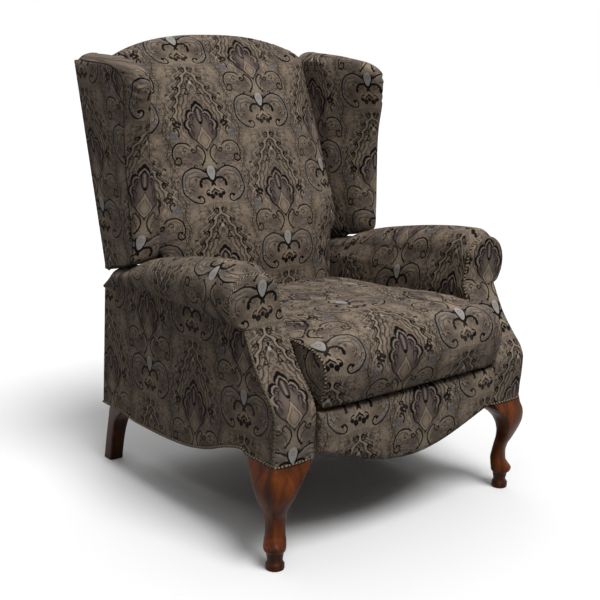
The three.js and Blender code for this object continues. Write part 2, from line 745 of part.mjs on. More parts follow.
// Sinuous spring: one unbroken wire from rail to rail
function seatSpring(x) {
  const steps = springWaves * springStepsPerWave;
  const z = seatRailTop + touchGap + springWire / 2;
  const reach = (i) => {
    const ends = Math.min(1, i / springStepsPerWave, (steps - i) / springStepsPerWave);
    return springSwing * ends * Math.sin((2 * Math.PI * i) / springStepsPerWave);
  };
  const path = [];
  for (let i = 0; i <= steps; i += 1) {
    const y = mix(seatRailFront + springWire, seatRailRear - springWire, i / steps);
    path.push(at(x + reach(i), y, z));
  }
  const curve = new THREE.CatmullRomCurve3(path, false, "centripetal");
  const r = springWire / 2;
  const corners = [[r, r], [-r, r], [-r, -r], [r, -r]];
  const section = new THREE.Shape(corners.map(([u, v]) => new THREE.Vector2(u, v)));
  return new THREE.ExtrudeGeometry(section, { steps, extrudePath: curve, bevelEnabled: false });
}

// Fixed side plate: a strap that holds every pivot of its side
function sidePlateStrap() {
  const half = plateWidth / 2;
  const rearSwingFoot = [frontSwingFoot[0] + swingSpread, frontSwingFoot[1]];
  const near = plane(0);
  const far = near + plateThickness;
  const straps = [
    [pivotA, pivotB], [pivotB, frontSwingFoot], [frontSwingFoot, rearSwingFoot], [rearSwingFoot, backPivot],
  ];
  const [first, ...rest] = straps.map(([from, to]) => bar(from, to, plateWidth, near, far));
  const hole = (pivot, radius) => crossPin(pivot, radius + runningGap, near - half, far + half);
  return combined(first, {
    add: rest,
    cut: [
      hole(pivotA, pinRadius), hole(pivotB, pinRadius), hole(frontSwingFoot, swingPinRadius),
      hole(rearSwingFoot, swingPinRadius), hole(backPivot, backPivotRadius),
    ],
  });
}

const pinOutward = (pivot, radius, n) =>
  crossPin(pivot, radius, plane(n) + plateThickness / 2, armInner - 2 * touchGap);
const holeIn = (pivot, radius, n) =>
  crossPin(pivot, radius, plane(n) - planePitch / 2, plane(n) + plateThickness + planePitch / 2);
const linkBar = (from, to, n) => bar(from, to, linkWidth, plane(n), plane(n) + plateThickness);

function lowerFrontLink() {
  return combined(linkBar(pivotA, pivotC, 1), {
    add: [
      pinOutward(pivotA, pinRadius, 1),
      crossPin(pivotC, pinRadius, plane(2), plane(1) + plateThickness / 2),
    ],
  });
}

function lowerRearLink() {
  return combined(linkBar(pivotB, pivotX, 1), {
    add: [
      linkBar(pivotX, pivotD, 1), pinOutward(pivotB, pinRadius, 1),
      crossPin(pivotX, pinRadius, plane(2), plane(1) + plateThickness / 2),
    ],
    cut: [holeIn(pivotD, pinRadius + runningGap, 1)],
  });
}

function upperFrontLink() {
  return combined(linkBar(pivotE, pivotC, 2), {
    add: [linkBar(pivotC, pivotX, 2)],
    cut: [
      holeIn(pivotE, pinRadius + runningGap, 2), holeIn(pivotC, pinRadius + runningGap, 2),
      holeIn(pivotX, pinRadius + openGap, 2),
    ],
  });
}

function upperRearLink() {
  return combined(linkBar(pivotF, pivotD, 3), {
    add: [crossPin(pivotD, pinRadius, plane(3) + plateThickness / 2, plane(1) + plateThickness)],
    cut: [holeIn(pivotF, pinRadius + openGap, 3)],
  });
}

function footrestCrossTube() {
  return crossPin(pivotD, crossTubeRadius, -plane(3) + touchGap, plane(3) - touchGap);
}

// Footrest bracket: a plate at the pivots with a flange on the board's rear face
function footrestBracket() {
  const near = plane(4);
  const far = near + plateThickness;
  const back = boardThickness + touchGap;
  const low = pivotE[1] - flangeHeight / 2;
  const high = pivotE[1] + linkWidth;
  const ear = sidePlate([
    [back, low], [pivotE[0], low], [pivotE[0] + linkWidth / 2, pivotE[1] - linkWidth],
    [back + linkWidth, high], [back, high],
  ], near, far);
  return combined(ear, {
    add: [
      bar(pivotE, pivotF, linkWidth, near, far),
      block(near - flangeWidth, far, back, back + plateThickness, low, high),
      crossPin(pivotE, pinRadius, near + plateThickness / 2, plane(2) + plateThickness),
      crossPin(pivotF, pinRadius, near + plateThickness / 2, plane(3) + plateThickness),
    ],
  });
}

// Upper pivot of a swing link: it leans back until it reaches the seat's side rail
const swingTop = ([y, z]) => {
  const rise = seatRailTop - swingTopDrop - z;
  return [y + rise * Math.tan(THREE.MathUtils.degToRad(swingLean)), z + rise];
};

function swingLink(foot) {
  const top = swingTop(foot);
  const near = plane(1);
  const inner = seatRailHalfWidth - seatRailThickness / 2;
  return combined(bar(foot, top, swingWidth, near, near + plateThickness), {
    add: [
      pinOutward(foot, swingPinRadius, 1),
      crossPin(top, swingPinRadius, inner, near + plateThickness / 2),
    ],
  });
}

function seatSideRail() {
  const near = seatRailHalfWidth - seatRailThickness;
  const low = seatRailTop - seatRailHeight;
  const rail = block(near, seatRailHalfWidth, seatRailFront, seatRailRear, low, seatRailTop);
  const feet = [frontSwingFoot, [frontSwingFoot[0] + swingSpread, frontSwingFoot[1]]];
  const holes = feet.map((foot) =>
    crossPin(swingTop(foot), swingPinRadius + runningGap, near - cutOverrun, seatRailHalfWidth + cutOverrun));
  return combined(rail, { cut: holes });
}

function backBracket() {
  const near = postHalfWidth + touchGap;
  const far = near + plateThickness;
  const postMiddle = backRear(backBendHeight) - outsideBackThickness - frameThickness / 2 - touchGap;
  const rise = [postMiddle, backPivot[1] + bracketReach];
  const knee = [rise[0], backPivot[1] + bracketReach / 3];
  return combined(bar(backPivot, knee, bracketWidth, near, far), {
    add: [
      bar(knee, rise, bracketWidth, near, far),
      crossPin(backPivot, backPivotRadius, near + plateThickness / 2, armInner - 2 * touchGap),
    ],
  });
}

// Assembly
const chair = new THREE.Group();
chair.name = "wingback_recliner";
chair.position.y = -chairMiddle;

function place(name, geometry, material) {
  const mesh = new THREE.Mesh(geometry, material);
  mesh.name = name;
  chair.add(mesh);
}

// Pieces are shaped for the right side and mirrored for the left
function placePair(name, geometry, material) {
  place(`${name}_left`, mirrored(geometry), material());
  place(`${name}_right`, geometry, material());
}

placePair("front_leg", frontLeg(), cherryWood);
placePair("rear_leg", rearLeg(), cherryWood);
placePair("arm_frame", armPanel(0, 0), frameWood);
placePair("arm_cover", armCover(), fabric);
placePair("arm_facing", armFacing(), fabric);

// Rail or apron from arm to arm
function acrossArms(front, thickness, height) {
  const reach = armInner - touchGap;
  return block(-reach, reach, front, front + thickness, railFoot, railFoot + height);
}

place("middle_rail", acrossArms(midRailDepth, railThickness, midRailHeight), frameWood());
place("rear_rail", acrossArms(rearRailDepth, railThickness, rearRailHeight), frameWood());
const apronFront = rearRailDepth + railThickness + touchGap;
place("rear_apron", acrossArms(apronFront, apronThickness, rearRailHeight), fabric());
placePair("side_plate", sidePlateStrap(), steel);

placePair("seat_side_rail", seatSideRail(), frameWood);
const betweenRails = seatRailHalfWidth - seatRailThickness - touchGap;
for (const [name, front] of [["front", seatRailFront], ["rear", seatRailRear - seatRailThickness]]) {
  const low = seatRailTop - seatRailHeight;
  const rail = block(-betweenRails, betweenRails, front, front + seatRailThickness, low, seatRailTop);
  place(`seat_${name}_rail`, rail, frameWood());
}
for (let i = 0; i < springCount; i += 1) {
  const pitch = (2 * betweenRails) / springCount;
  place(`seat_spring_${i + 1}`, seatSpring((i - (springCount - 1) / 2) * pitch), steel());
}
const deckTop = deckBottom + deckThickness;
const deck = block(-seatRailHalfWidth, seatRailHalfWidth, seatRailFront, seatRailRear, deckBottom, deckTop);
place("seat_deck", deck, lining());
place("seat_cushion", seatCushion(), fabric());
placePair("front_swing_link", swingLink(frontSwingFoot), steel);
placePair("rear_swing_link", swingLink([frontSwingFoot[0] + swingSpread, frontSwingFoot[1]]), steel);

placePair("lower_front_link", lowerFrontLink(), steel);
placePair("lower_rear_link", lowerRearLink(), steel);
placePair("upper_front_link", upperFrontLink(), steel);
placePair("upper_rear_link", upperRearLink(), steel);
place("footrest_cross_tube", footrestCrossTube(), steel());
placePair("footrest_bracket", footrestBracket(), steel);
place("footrest_board", footrestBoard(), frameWood());
place("footrest_pad", footrestPad(), fabric());

place("back_cushion", backCushion(), fabric());
place("outside_back", outsideBack(), fabric());
const postInner = postHalfWidth - postThickness;
const post = leaningBoard(postInner, postHalfWidth, postBottomHeight, topRailFoot - touchGap);
placePair("back_post", post, frameWood);
const betweenPosts = postInner - touchGap;
const railFeet = { lower: postBottomHeight + lowerRailLift, middle: backBendHeight + middleRailLift };
for (const [name, foot] of Object.entries(railFeet)) {
  const rail = leaningBoard(-betweenPosts, betweenPosts, foot, foot + crossRailHeight);
  place(`back_${name}_rail`, rail, frameWood());
}
place("back_top_rail", topRail(), frameWood());
placePair("back_bracket", backBracket(), steel);
placePair("wing", wing(), fabric);
placePair("wing_frame", wingPanel(0, 0), frameWood);

export default chair;
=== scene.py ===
"""Wingback recliner on cabriole legs: upholstery, woods, steel and the studio round it.

Sizes are in millimetres in the chair's own drawing frame: depth counts rearward from the foot of the
arm facings, height from the floor, +X is the right of someone who faces the chair. Every mesh is put
into metres and centred as its last step.
"""

import json
import logging
import math
from dataclasses import dataclass
from enum import Enum
from functools import reduce
from typing import Iterator, Optional, Sequence, Union

import bmesh
import bpy
import numpy as np
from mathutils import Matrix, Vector

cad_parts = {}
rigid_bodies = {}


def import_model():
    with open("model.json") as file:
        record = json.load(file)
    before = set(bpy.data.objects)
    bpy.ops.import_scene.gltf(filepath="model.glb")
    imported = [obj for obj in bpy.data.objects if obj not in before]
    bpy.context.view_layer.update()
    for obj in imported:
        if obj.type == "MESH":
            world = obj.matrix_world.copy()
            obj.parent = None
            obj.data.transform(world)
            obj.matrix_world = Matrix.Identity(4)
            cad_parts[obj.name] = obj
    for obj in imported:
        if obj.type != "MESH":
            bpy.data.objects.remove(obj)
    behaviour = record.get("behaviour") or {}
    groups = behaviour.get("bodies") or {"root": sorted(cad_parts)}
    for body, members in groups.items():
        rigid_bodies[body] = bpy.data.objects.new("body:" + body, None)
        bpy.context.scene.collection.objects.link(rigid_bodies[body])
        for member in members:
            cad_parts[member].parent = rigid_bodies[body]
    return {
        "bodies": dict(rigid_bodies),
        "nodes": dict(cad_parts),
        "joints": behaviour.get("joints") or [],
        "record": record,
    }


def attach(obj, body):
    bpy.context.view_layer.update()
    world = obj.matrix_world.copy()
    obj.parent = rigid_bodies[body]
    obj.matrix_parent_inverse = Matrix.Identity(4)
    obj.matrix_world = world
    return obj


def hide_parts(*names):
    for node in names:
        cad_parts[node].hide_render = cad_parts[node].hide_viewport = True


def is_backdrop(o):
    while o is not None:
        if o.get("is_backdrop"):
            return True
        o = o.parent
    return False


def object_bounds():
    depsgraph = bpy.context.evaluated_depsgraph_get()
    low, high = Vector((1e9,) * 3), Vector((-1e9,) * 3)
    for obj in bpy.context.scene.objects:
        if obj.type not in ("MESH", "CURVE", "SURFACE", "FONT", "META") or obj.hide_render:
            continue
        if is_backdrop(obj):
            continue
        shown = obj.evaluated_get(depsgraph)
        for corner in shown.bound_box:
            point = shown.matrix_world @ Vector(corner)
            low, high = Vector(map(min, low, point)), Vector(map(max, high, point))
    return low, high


LOG = logging.getLogger("recliner")
Array = np.ndarray
Table = Sequence[Sequence[float]]

MILLIMETRE = 0.001
CHAIR_MIDDLE = 388.0
TOUCH_GAP = 0.3
SEAM_WELD = 0.02
SHORTEST_EDGE = 0.001
TUBE_SIDES = 8
TUBE_END_STEPS = 3


class Side(Enum):
    """The two sides of the chair, with the sign of X on each."""

    LEFT = -1
    RIGHT = 1

    @property
    def word(self) -> str:
        """Name used in pieces and nodes."""
        return self.name.lower()


# Curves and tables


def mix(a: Union[float, Array], b: Union[float, Array], share: Union[float, Array]) -> Union[float, Array]:
    """Straight blend a + (b - a) * share."""
    return a + (b - a) * share


def follow(table: Table, place: Union[float, Array], column: int = 1) -> Array:
    """Smooth curve through a table, with no overshoot between its rows.

    Cubic Hermite pieces whose slope at a row is the harmonic mean of the chords beside it, and zero
    where these chords have opposite signs.

    Args:
        table: Rows of a place and one or more values.
        place: Where to read the curve.
        column: Which value to read.

    Returns:
        The value at each place, held level beyond the ends.
    """
    rows = np.asarray(table, float)
    x, y = rows[:, 0], rows[:, column]
    chord = np.diff(y) / np.diff(x)
    product = chord[:-1] * chord[1:]
    total = chord[:-1] + chord[1:]
    inner = np.where(product > 0, 2 * product / np.where(total == 0, 1, total), 0)
    slope = np.concatenate([[chord[0]], inner, [chord[-1]]])
    at = np.clip(np.asarray(place, float), x[0], x[-1])
    i = np.clip(np.searchsorted(x, at, side="right") - 1, 0, len(x) - 2)
    span = x[i + 1] - x[i]
    t = (at - x[i]) / span
    return (y[i] * (2 * t**3 - 3 * t**2 + 1) + slope[i] * span * (t**3 - 2 * t**2 + t)
            + y[i + 1] * (3 * t**2 - 2 * t**3) + slope[i + 1] * span * (t**3 - t**2))


def through(points: Array, count: int) -> Array:
    """Refines a path to evenly spaced points on a smooth curve through the given ones.

    Args:
        points: Path of shape (n, d).
        count: Number of points wanted.

    Returns:
        Path of shape (count, d), read from follow() against the chord length.
    """
    reach = np.concatenate([[0], np.cumsum(np.linalg.norm(np.diff(points, axis=0), axis=1))])
    where = np.linspace(0, reach[-1], count)
    return np.stack([follow(np.stack([reach, points[:, k]], 1), where) for k in range(points.shape[1])], 1)


def smooth(low: float, high: float, value: Array) -> Array:
    """Smoothstep 3t^2 - 2t^3 from 0 at low to 1 at high."""
    t = np.clip((value - low) / (high - low), 0, 1)
    return t * t * (3 - 2 * t)


def squared(wave: Array, power: Union[float, Array]) -> Array:
    """Sine or cosine of the superellipse |u|^p + |v|^p = 1: its size to the power 2 / p, with its sign."""
    return np.sign(wave) * np.abs(wave) ** (2 / power)


def run_length(points: Array, axis: int) -> Array:
    """Distance walked over a grid of points along one of its axes, starting at zero."""
    steps = np.linalg.norm(np.diff(points, axis=axis), axis=-1)
    zero = np.zeros_like(np.take(steps, [0], axis=axis))
    return np.concatenate([zero, np.cumsum(steps, axis=axis)], axis=axis)


def ripple(place: Array, seed: int, waves: int, low: float, high: float) -> Array:
    """Sum of sines of random phase and length, about -1 to 1, from a fixed seed.

    Args:
        place: Where to read it, in millimetres; the last axis holds one or more coordinates.
        seed: Fixes the phases and lengths.
        waves: Number of sines.
        low: Shortest wavelength.
        high: Longest wavelength.

    Returns:
        The sum over all waves divided by the root of their number.
    """
    pick = np.random.default_rng(seed)
    total = np.zeros(place.shape[:-1])
    for _ in range(waves):
        way = pick.normal(size=place.shape[-1])
        way /= np.linalg.norm(way)
        length = pick.uniform(low, high)
        total += np.sin(2 * math.pi * (place @ way) / length + pick.uniform(0, 2 * math.pi))
    return total / math.sqrt(waves)


# Meshes


@dataclass
class Patch:
    """A grid of points with the cloth coordinates of each, both indexed (row, column)."""

    points: Array
    cloth: Array


def arc_cloth(points: Array, origin: Sequence[float] = (0.0, 0.0)) -> Array:
    """Cloth coordinates in millimetres from the distances walked along rows and columns.

    Args:
        points: Grid of points, rows across the cloth and columns up it.
        origin: Cloth coordinates of the middle of the first column.

    Returns:
        Grid of (across, up).
    """
    across = run_length(points, 0)
    middle = round((len(points) - 1) / 2)
    return np.stack([across - across[middle] + origin[0], run_length(points, 1) + origin[1]], -1)


class MeshDraft:
    """Collects patches, joins their seams and turns them into one Blender object."""

    def __init__(self, name: str) -> None:
        """Starts an empty draft."""
        self.name = name
        self.points: list[Array] = []
        self.faces: list[Array] = []
        self.cloth: list[Array] = []
        self.material: list[Array] = []
        self.count = 0

    def add(self, patch: Patch, material: int = 0) -> "MeshDraft":
        """Adds a grid as quads.

        Args:
            patch: The grid; neighbouring patches share the points of their seam.
            material: Index of the material slot of its faces.

        Returns:
            The draft itself.
        """
        rows, columns = patch.points.shape[:2]
        index = self.count + np.arange(rows * columns).reshape(rows, columns)
        quads = np.stack([index[:-1, :-1], index[1:, :-1], index[1:, 1:], index[:-1, 1:]], -1).reshape(-1, 4)
        self.points.append(patch.points.reshape(-1, 3))
        self.faces.append(quads)
        self.cloth.append(patch.cloth.reshape(-1, 2))
        self.material.append(np.full(len(quads), material))
        self.count += rows * columns
        return self

    def finish(self, materials: Sequence[bpy.types.Material], side: Side = Side.RIGHT) -> bpy.types.Object:
        """Makes the object, with its place in its mesh.

        Args:
            materials: Materials of the slots.
            side: LEFT mirrors the draft, which is drawn for the right side.

        Returns:
            The finished object, smooth shaded, with its faces outward.
        """
        points = np.concatenate(self.points) * [side.value, 1, 1]
        points = (points - [0, CHAIR_MIDDLE, 0]) * MILLIMETRE
        faces = np.concatenate(self.faces)
        mesh = bpy.data.meshes.new(self.name)
        mesh.from_pydata(points.tolist(), [], faces.tolist())
        layer = mesh.uv_layers.new(name="cloth")
        cloth = np.concatenate(self.cloth)[faces.reshape(-1)] * MILLIMETRE
        layer.data.foreach_set("uv", cloth.astype(np.float32).reshape(-1))
        mesh.polygons.foreach_set("material_index", np.concatenate(self.material).astype(np.int32))
        for material in materials:
            mesh.materials.append(material)
        work = bmesh.new()
        work.from_mesh(mesh)
        bmesh.ops.remove_doubles(work, verts=work.verts, dist=SEAM_WELD * MILLIMETRE)
        bmesh.ops.dissolve_degenerate(work, edges=work.edges, dist=SHORTEST_EDGE * MILLIMETRE)
        bmesh.ops.recalc_face_normals(work, faces=work.faces)
        work.to_mesh(mesh)
        work.free()
        mesh.polygons.foreach_set("use_smooth", np.ones(len(mesh.polygons), bool))
        thing = bpy.data.objects.new(self.name, mesh)
        bpy.context.scene.collection.objects.link(thing)
        return thing


def strip_cap(ring: Array) -> Patch:
    """Closes a ring of an even number of points by one strip, from each point i to n - 1 - i."""
    half = len(ring) // 2
    points = np.stack([ring[:half], ring[::-1][:half]], 1)
    return Patch(points, arc_cloth(points))


def tube(path: Array, radius: Array) -> Patch:
    """Round tube along a path: path + radius * (cos a * side + sin a * up).

    Up is the axis along which the path moves least, made square to the path.

    Args:
        path: Points of shape (n, 3).
        radius: Radius at each of them, of shape (n,).

    Returns:
        The patch, with open ends.
    """
    ahead = np.gradient(path, axis=0)
    ahead = ahead / np.linalg.norm(ahead, axis=1, keepdims=True)
    lift = np.eye(3)[np.argmin(np.ptp(path, axis=0))]
    up = lift - ahead * (ahead @ lift)[:, None]
    up = up / np.linalg.norm(up, axis=1, keepdims=True)
    side = np.cross(ahead, up)
    turn = np.linspace(0, 2 * math.pi, TUBE_SIDES + 1)
    around = np.cos(turn)[None, :, None] * side[:, None, :] + np.sin(turn)[None, :, None] * up[:, None, :]
    points = path[:, None, :] + radius[:, None, None] * around
    walked = run_length(points, 0)
    round_about = np.broadcast_to(turn * np.mean(radius), walked.shape)
    return Patch(points, np.stack([round_about, walked], -1))


def ball_ends(path: Array, radius: float) -> tuple[Array, Array]:
    """Lengthens a path by rounded ends that close to a point.

    Args:
        path: Points of shape (n, 3).
        radius: Radius of the tube.

    Returns:
        The longer path and the radius at each of its points.
    """
    angle = np.linspace(math.pi / 2, 0, TUBE_END_STEPS + 1)[:-1]
    ends = path[[0, -1]]
    away = ends - path[[1, -2]]
    away = radius * away / np.linalg.norm(away, axis=1, keepdims=True)
    head, tail = ends[:, None] + np.sin(angle)[None, :, None] * away[:, None]
    tail = tail[::-1]
    width = radius * np.maximum(np.cos(angle), 0.02)
    return (np.concatenate([head, path, tail]),
            np.concatenate([width, np.full(len(path), radius), width[::-1]]))


def add_tube(draft: MeshDraft, path: Array, radius: float) -> MeshDraft:
    """Adds a piping with rounded ends to a draft."""
    return draft.add(tube(*ball_ends(path, radius)))


@dataclass
class Settling:
    """Lets the cloth of a cushion swell and crease over its filling, with its seams held still."""

    pressure: float = 3.0
    slack: float = 0.02
    stiffness: float = 18.0
    bending: float = 1.2
    quality: int = 6
    mass: float = 0.25
    hold_steps: int = 8
    frames: int = 16
    cap: float = 6.0
    held_below: float = 0.3
    free_above: float = 0.6
    unevenness: float = 0.7
    ripple_seed: int = 7
    ripple_waves: int = 14
    ripple_lengths: Sequence[float] = (90.0, 260.0)

    @staticmethod
    def read(data: object, name: str) -> Array:
        """Vectors of all vertices of a mesh, by their name, as rows of three."""
        flat = np.empty(len(data) * 3, np.float32)
        data.foreach_get(name, flat)
        return flat.reshape(-1, 3).astype(float)

    def run(self, thing: bpy.types.Object, facing: Sequence[float]) -> None:
        """Moves the cloth that faces a direction, and leaves no simulation on the piece.

        A point moves by its simulated displacement d, shortened to cap * tanh(|d| / cap), and by a
        little unevenness along its normal n; both fall to nothing as n . facing goes from 0.6 to 0.3.

        Args:
            thing: The piece, a closed mesh.
            facing: Direction of the loose side, of length one.
        """
        mesh = thing.data
        rest, normal = self.read(mesh.vertices, "co"), self.read(mesh.vertices, "normal")
        loose = smooth(self.held_below, self.free_above, normal @ np.asarray(facing, float))
        waves = ripple(rest / MILLIMETRE, self.ripple_seed, self.ripple_waves, *self.ripple_lengths)
        moved = self.unevenness * MILLIMETRE * waves[:, None] * normal
        step = self.simulate(thing, loose) - rest
        size = np.linalg.norm(step, axis=1, keepdims=True)
        cap = self.cap * MILLIMETRE
        moved = moved + step * cap * np.tanh(size / cap) / np.maximum(size, 1e-9)
        mesh.vertices.foreach_set("co", (rest + loose[:, None] * moved).astype(np.float32).reshape(-1))
        mesh.update()

    def simulate(self, thing: bpy.types.Object, loose: Array) -> Array:
        """Runs Blender's cloth with pressure and without gravity, then removes it.

        Args:
            thing: The piece.
            loose: 0 for a held vertex to 1 for a free one.

        Returns:
            Positions of the vertices after the last frame.
        """
        held = thing.vertex_groups.new(name="held")
        level = np.round((1 - loose) * self.hold_steps).astype(int)
        for step in range(self.hold_steps + 1):
            held.add(np.flatnonzero(level == step).tolist(), step / self.hold_steps, "REPLACE")
        cloth = thing.modifiers.new("cloth", "CLOTH")
        settings = cloth.settings
        settings.quality = self.quality
        settings.mass = self.mass
        settings.tension_stiffness = settings.compression_stiffness = self.stiffness
        settings.shear_stiffness = self.stiffness / 2
        settings.bending_stiffness = self.bending
        settings.use_pressure = True
        settings.uniform_pressure_force = self.pressure
        settings.shrink_min = settings.shrink_max = -self.slack
        settings.vertex_group_mass = held.name
        settings.effector_weights.gravity = 0
        cloth.point_cache.frame_start, cloth.point_cache.frame_end = 1, self.frames
        scene = bpy.context.scene
        for frame in range(1, self.frames + 1):
            scene.frame_set(frame)
        view = bpy.context.evaluated_depsgraph_get()
        result = self.read(thing.evaluated_get(view).data.vertices, "co")
        thing.modifiers.remove(cloth)
        thing.vertex_groups.remove(held)
        scene.frame_set(1)
        moved = np.linalg.norm(result - self.read(thing.data.vertices, "co"), axis=1).max() / MILLIMETRE
        LOG.info("%s: cloth moved by up to %.1f mm", thing.name, moved)
        return result


# Shader maths and nodes


def srgb(red: float, green: float, blue: float) -> tuple[float, float, float, float]:
    """Linear colour of an sRGB one given from 0 to 255."""
    part = [c / 255 for c in (red, green, blue)]
    line = [c / 12.92 if c <= 0.04045 else ((c + 0.055) / 1.055) ** 2.4 for c in part]
    return (*line, 1.0)


Socket = bpy.types.NodeSocket
Colour = tuple[float, float, float, float]
# Painted shade: near-black colour mixed in where the threads of the weave leave gaps.
THREAD_GAP_SHADE: Colour = (0.01, 0.009, 0.008, 1.0)


class Board:
    """Node tree of one material, with the one method that adds nodes to it."""

    def __init__(self, name: str) -> None:
        """Starts an empty material with its output."""
        self.material = bpy.data.materials.new(name)
        self.material.use_nodes = True
        self.tree = self.material.node_tree
        self.tree.nodes.clear()
        self.output = self.tree.nodes.new("ShaderNodeOutputMaterial")

    @classmethod
    def on(cls, tree: bpy.types.NodeTree, output: str) -> "Board":
        """Board on another node tree, emptied, with the given kind of output."""
        board = cls.__new__(cls)
        board.tree = tree
        tree.nodes.clear()
        board.output = tree.nodes.new(output)
        return board

    def node(self, kind: str, settings: Optional[dict] = None, **inputs: object) -> bpy.types.Node:
        """Adds a node.

        Args:
            kind: Its type, without the ShaderNode prefix.
            settings: Properties and, for a ramp, its stops, all set before its sockets.
            **inputs: Values or links of its sockets; a space in a name is written as _, and a socket
                known by number as n0, n1 and so on.

        Returns:
            The node.
        """
        made = self.tree.nodes.new("ShaderNode" + kind)
        for key, value in (settings or {}).items():
            if key == "stops":
                self.set_stops(made.color_ramp, value)
            else:
                setattr(made, key, value)
        for key, value in inputs.items():
            socket = made.inputs[int(key[1:])] if key[1:].isdigit() else made.inputs[key.replace("_", " ")]
            if isinstance(value, Value):
                value = value.socket
            if isinstance(value, bpy.types.NodeSocket):
                self.tree.links.new(value, socket)
            else:
                socket.default_value = value
        return made

    @staticmethod
    def set_stops(ramp: bpy.types.ColorRamp, stops: Sequence[tuple[float, Colour]]) -> None:
        """Fills a colour ramp with stops of a place and a colour."""
        while len(ramp.elements) < len(stops):
            ramp.elements.new(1.0)
        for element, (place, colour) in zip(ramp.elements, stops):
            element.position = place
            element.color = colour

    def value(self, kind: str, out: Union[int, str] = 0, settings: Optional[dict] = None,
              **inputs: object) -> "Value":
        """Adds a node and wraps one of its outputs for maths."""
        return Value(self, self.node(kind, settings, **inputs).outputs[out])

    def blend(self, share: object, a: object, b: object) -> Socket:
        """Mixes two colours by a share."""
        return self.node("Mix", {"data_type": "RGBA"}, n0=share, n6=a, n7=b).outputs[2]

    def vector(self, operation: str, *others: object, out: int = 0) -> Socket:
        """Adds a Vector Math node."""
        inputs = {f"n{i}": v for i, v in enumerate(others)}
        return self.node("VectorMath", {"operation": operation}, **inputs).outputs[out]

    def parts(self, vector: object) -> list["Value"]:
        """The three components of a vector."""
        return [Value(self, part) for part in self.node("SeparateXYZ", Vector=vector).outputs]

    def noise(self, place: object, scale: float, detail: float = 3.0, rough: float = 0.5,
              twist: float = 0.0) -> "Value":
        """Fractal noise from 0 to 1 at a place."""
        return self.value("TexNoise", "Fac", Vector=place, Scale=scale, Detail=detail,
                          Roughness=rough, Distortion=twist)

    def surface(self, **inputs: object) -> bpy.types.Material:
        """Adds the surface shader, joins it to the output and returns the material."""
        shader = self.node("BsdfPrincipled", **inputs)
        self.tree.links.new(shader.outputs[0], self.output.inputs[0])
        return self.material


class Value:
    """A number on a socket, with Python's operators as Math nodes."""

    def __init__(self, board: Board, socket: Socket) -> None:
        """Wraps a socket of a board."""
        self.board = board
        self.socket = socket

    def math(self, operation: str, *others: object) -> "Value":
        """Adds a Math node with this value first."""
        inputs = {f"n{i}": v for i, v in enumerate((self, *others))}
        return self.board.value("Math", 0, {"operation": operation}, **inputs)

    def flipped(self, operation: str, other: float) -> "Value":
        """Adds a Math node with this value second."""
        return self.board.value("Math", 0, {"operation": operation}, n0=other, n1=self)

    def __add__(self, other: object) -> "Value":
        """Sum."""
        return self.math("ADD", other)

    __radd__ = __add__

    def __sub__(self, other: object) -> "Value":
        """Difference."""
        return self.math("SUBTRACT", other)

    def __rsub__(self, other: float) -> "Value":
        """Difference from a number."""
        return self.flipped("SUBTRACT", other)

    def __mul__(self, other: object) -> "Value":
        """Product."""
        return self.math("MULTIPLY", other)

    __rmul__ = __mul__

    def __truediv__(self, other: object) -> "Value":
        """Quotient."""
        return self.math("DIVIDE", other)

    def __pow__(self, other: object) -> "Value":
        """Power."""
        return self.math("POWER", other)

    def __abs__(self) -> "Value":
        """Size without sign."""
        return self.math("ABSOLUTE")

    def least(self, other: object) -> "Value":
        """The smaller of two."""
        return self.math("MINIMUM", other)

    def most(self, other: object) -> "Value":
        """The larger of two."""
        return self.math("MAXIMUM", other)

    def fraction(self) -> "Value":
        """What is left above the whole number below."""
        return self - self.math("FLOOR")

    def sine(self) -> "Value":
        """Sine of an angle in radians."""
        return self.math("SINE")

    def step(self, low: float, high: float) -> "Value":
        """Smooth step from 0 at low to 1 at high; low may be the larger."""
        if low > high:
            return 1 - self.step(high, low)
        return self.board.value("MapRange", 0, {"interpolation_type": "SMOOTHSTEP"}, n0=self, n1=low, n2=high)

    def within(self, low: float, high: float, soft: float) -> "Value":
        """1 between low and high, with soft ends."""
        return self.step(low - soft, low + soft) * self.step(high + soft, high - soft)

    def table(self, stops: Sequence[tuple[float, float]]) -> "Value":
        """Smooth curve through a table of place and value, place from 0 to 1, as a ramp's grey.

        Args:
            stops: Up to 32 rows of place and value, none negative.

        Returns:
            The value at this place.
        """
        top = max(value for _, value in stops)
        grey = [(place, (value / top,) * 3 + (1.0,)) for place, value in stops]
        ramp = self.board.node("ValToRGB", {"stops": grey}, n0=self)
        ramp.color_ramp.interpolation = "EASE"
        return Value(self.board, ramp.outputs[0]) * top


# Finishes


Coat = tuple[Value, Colour]


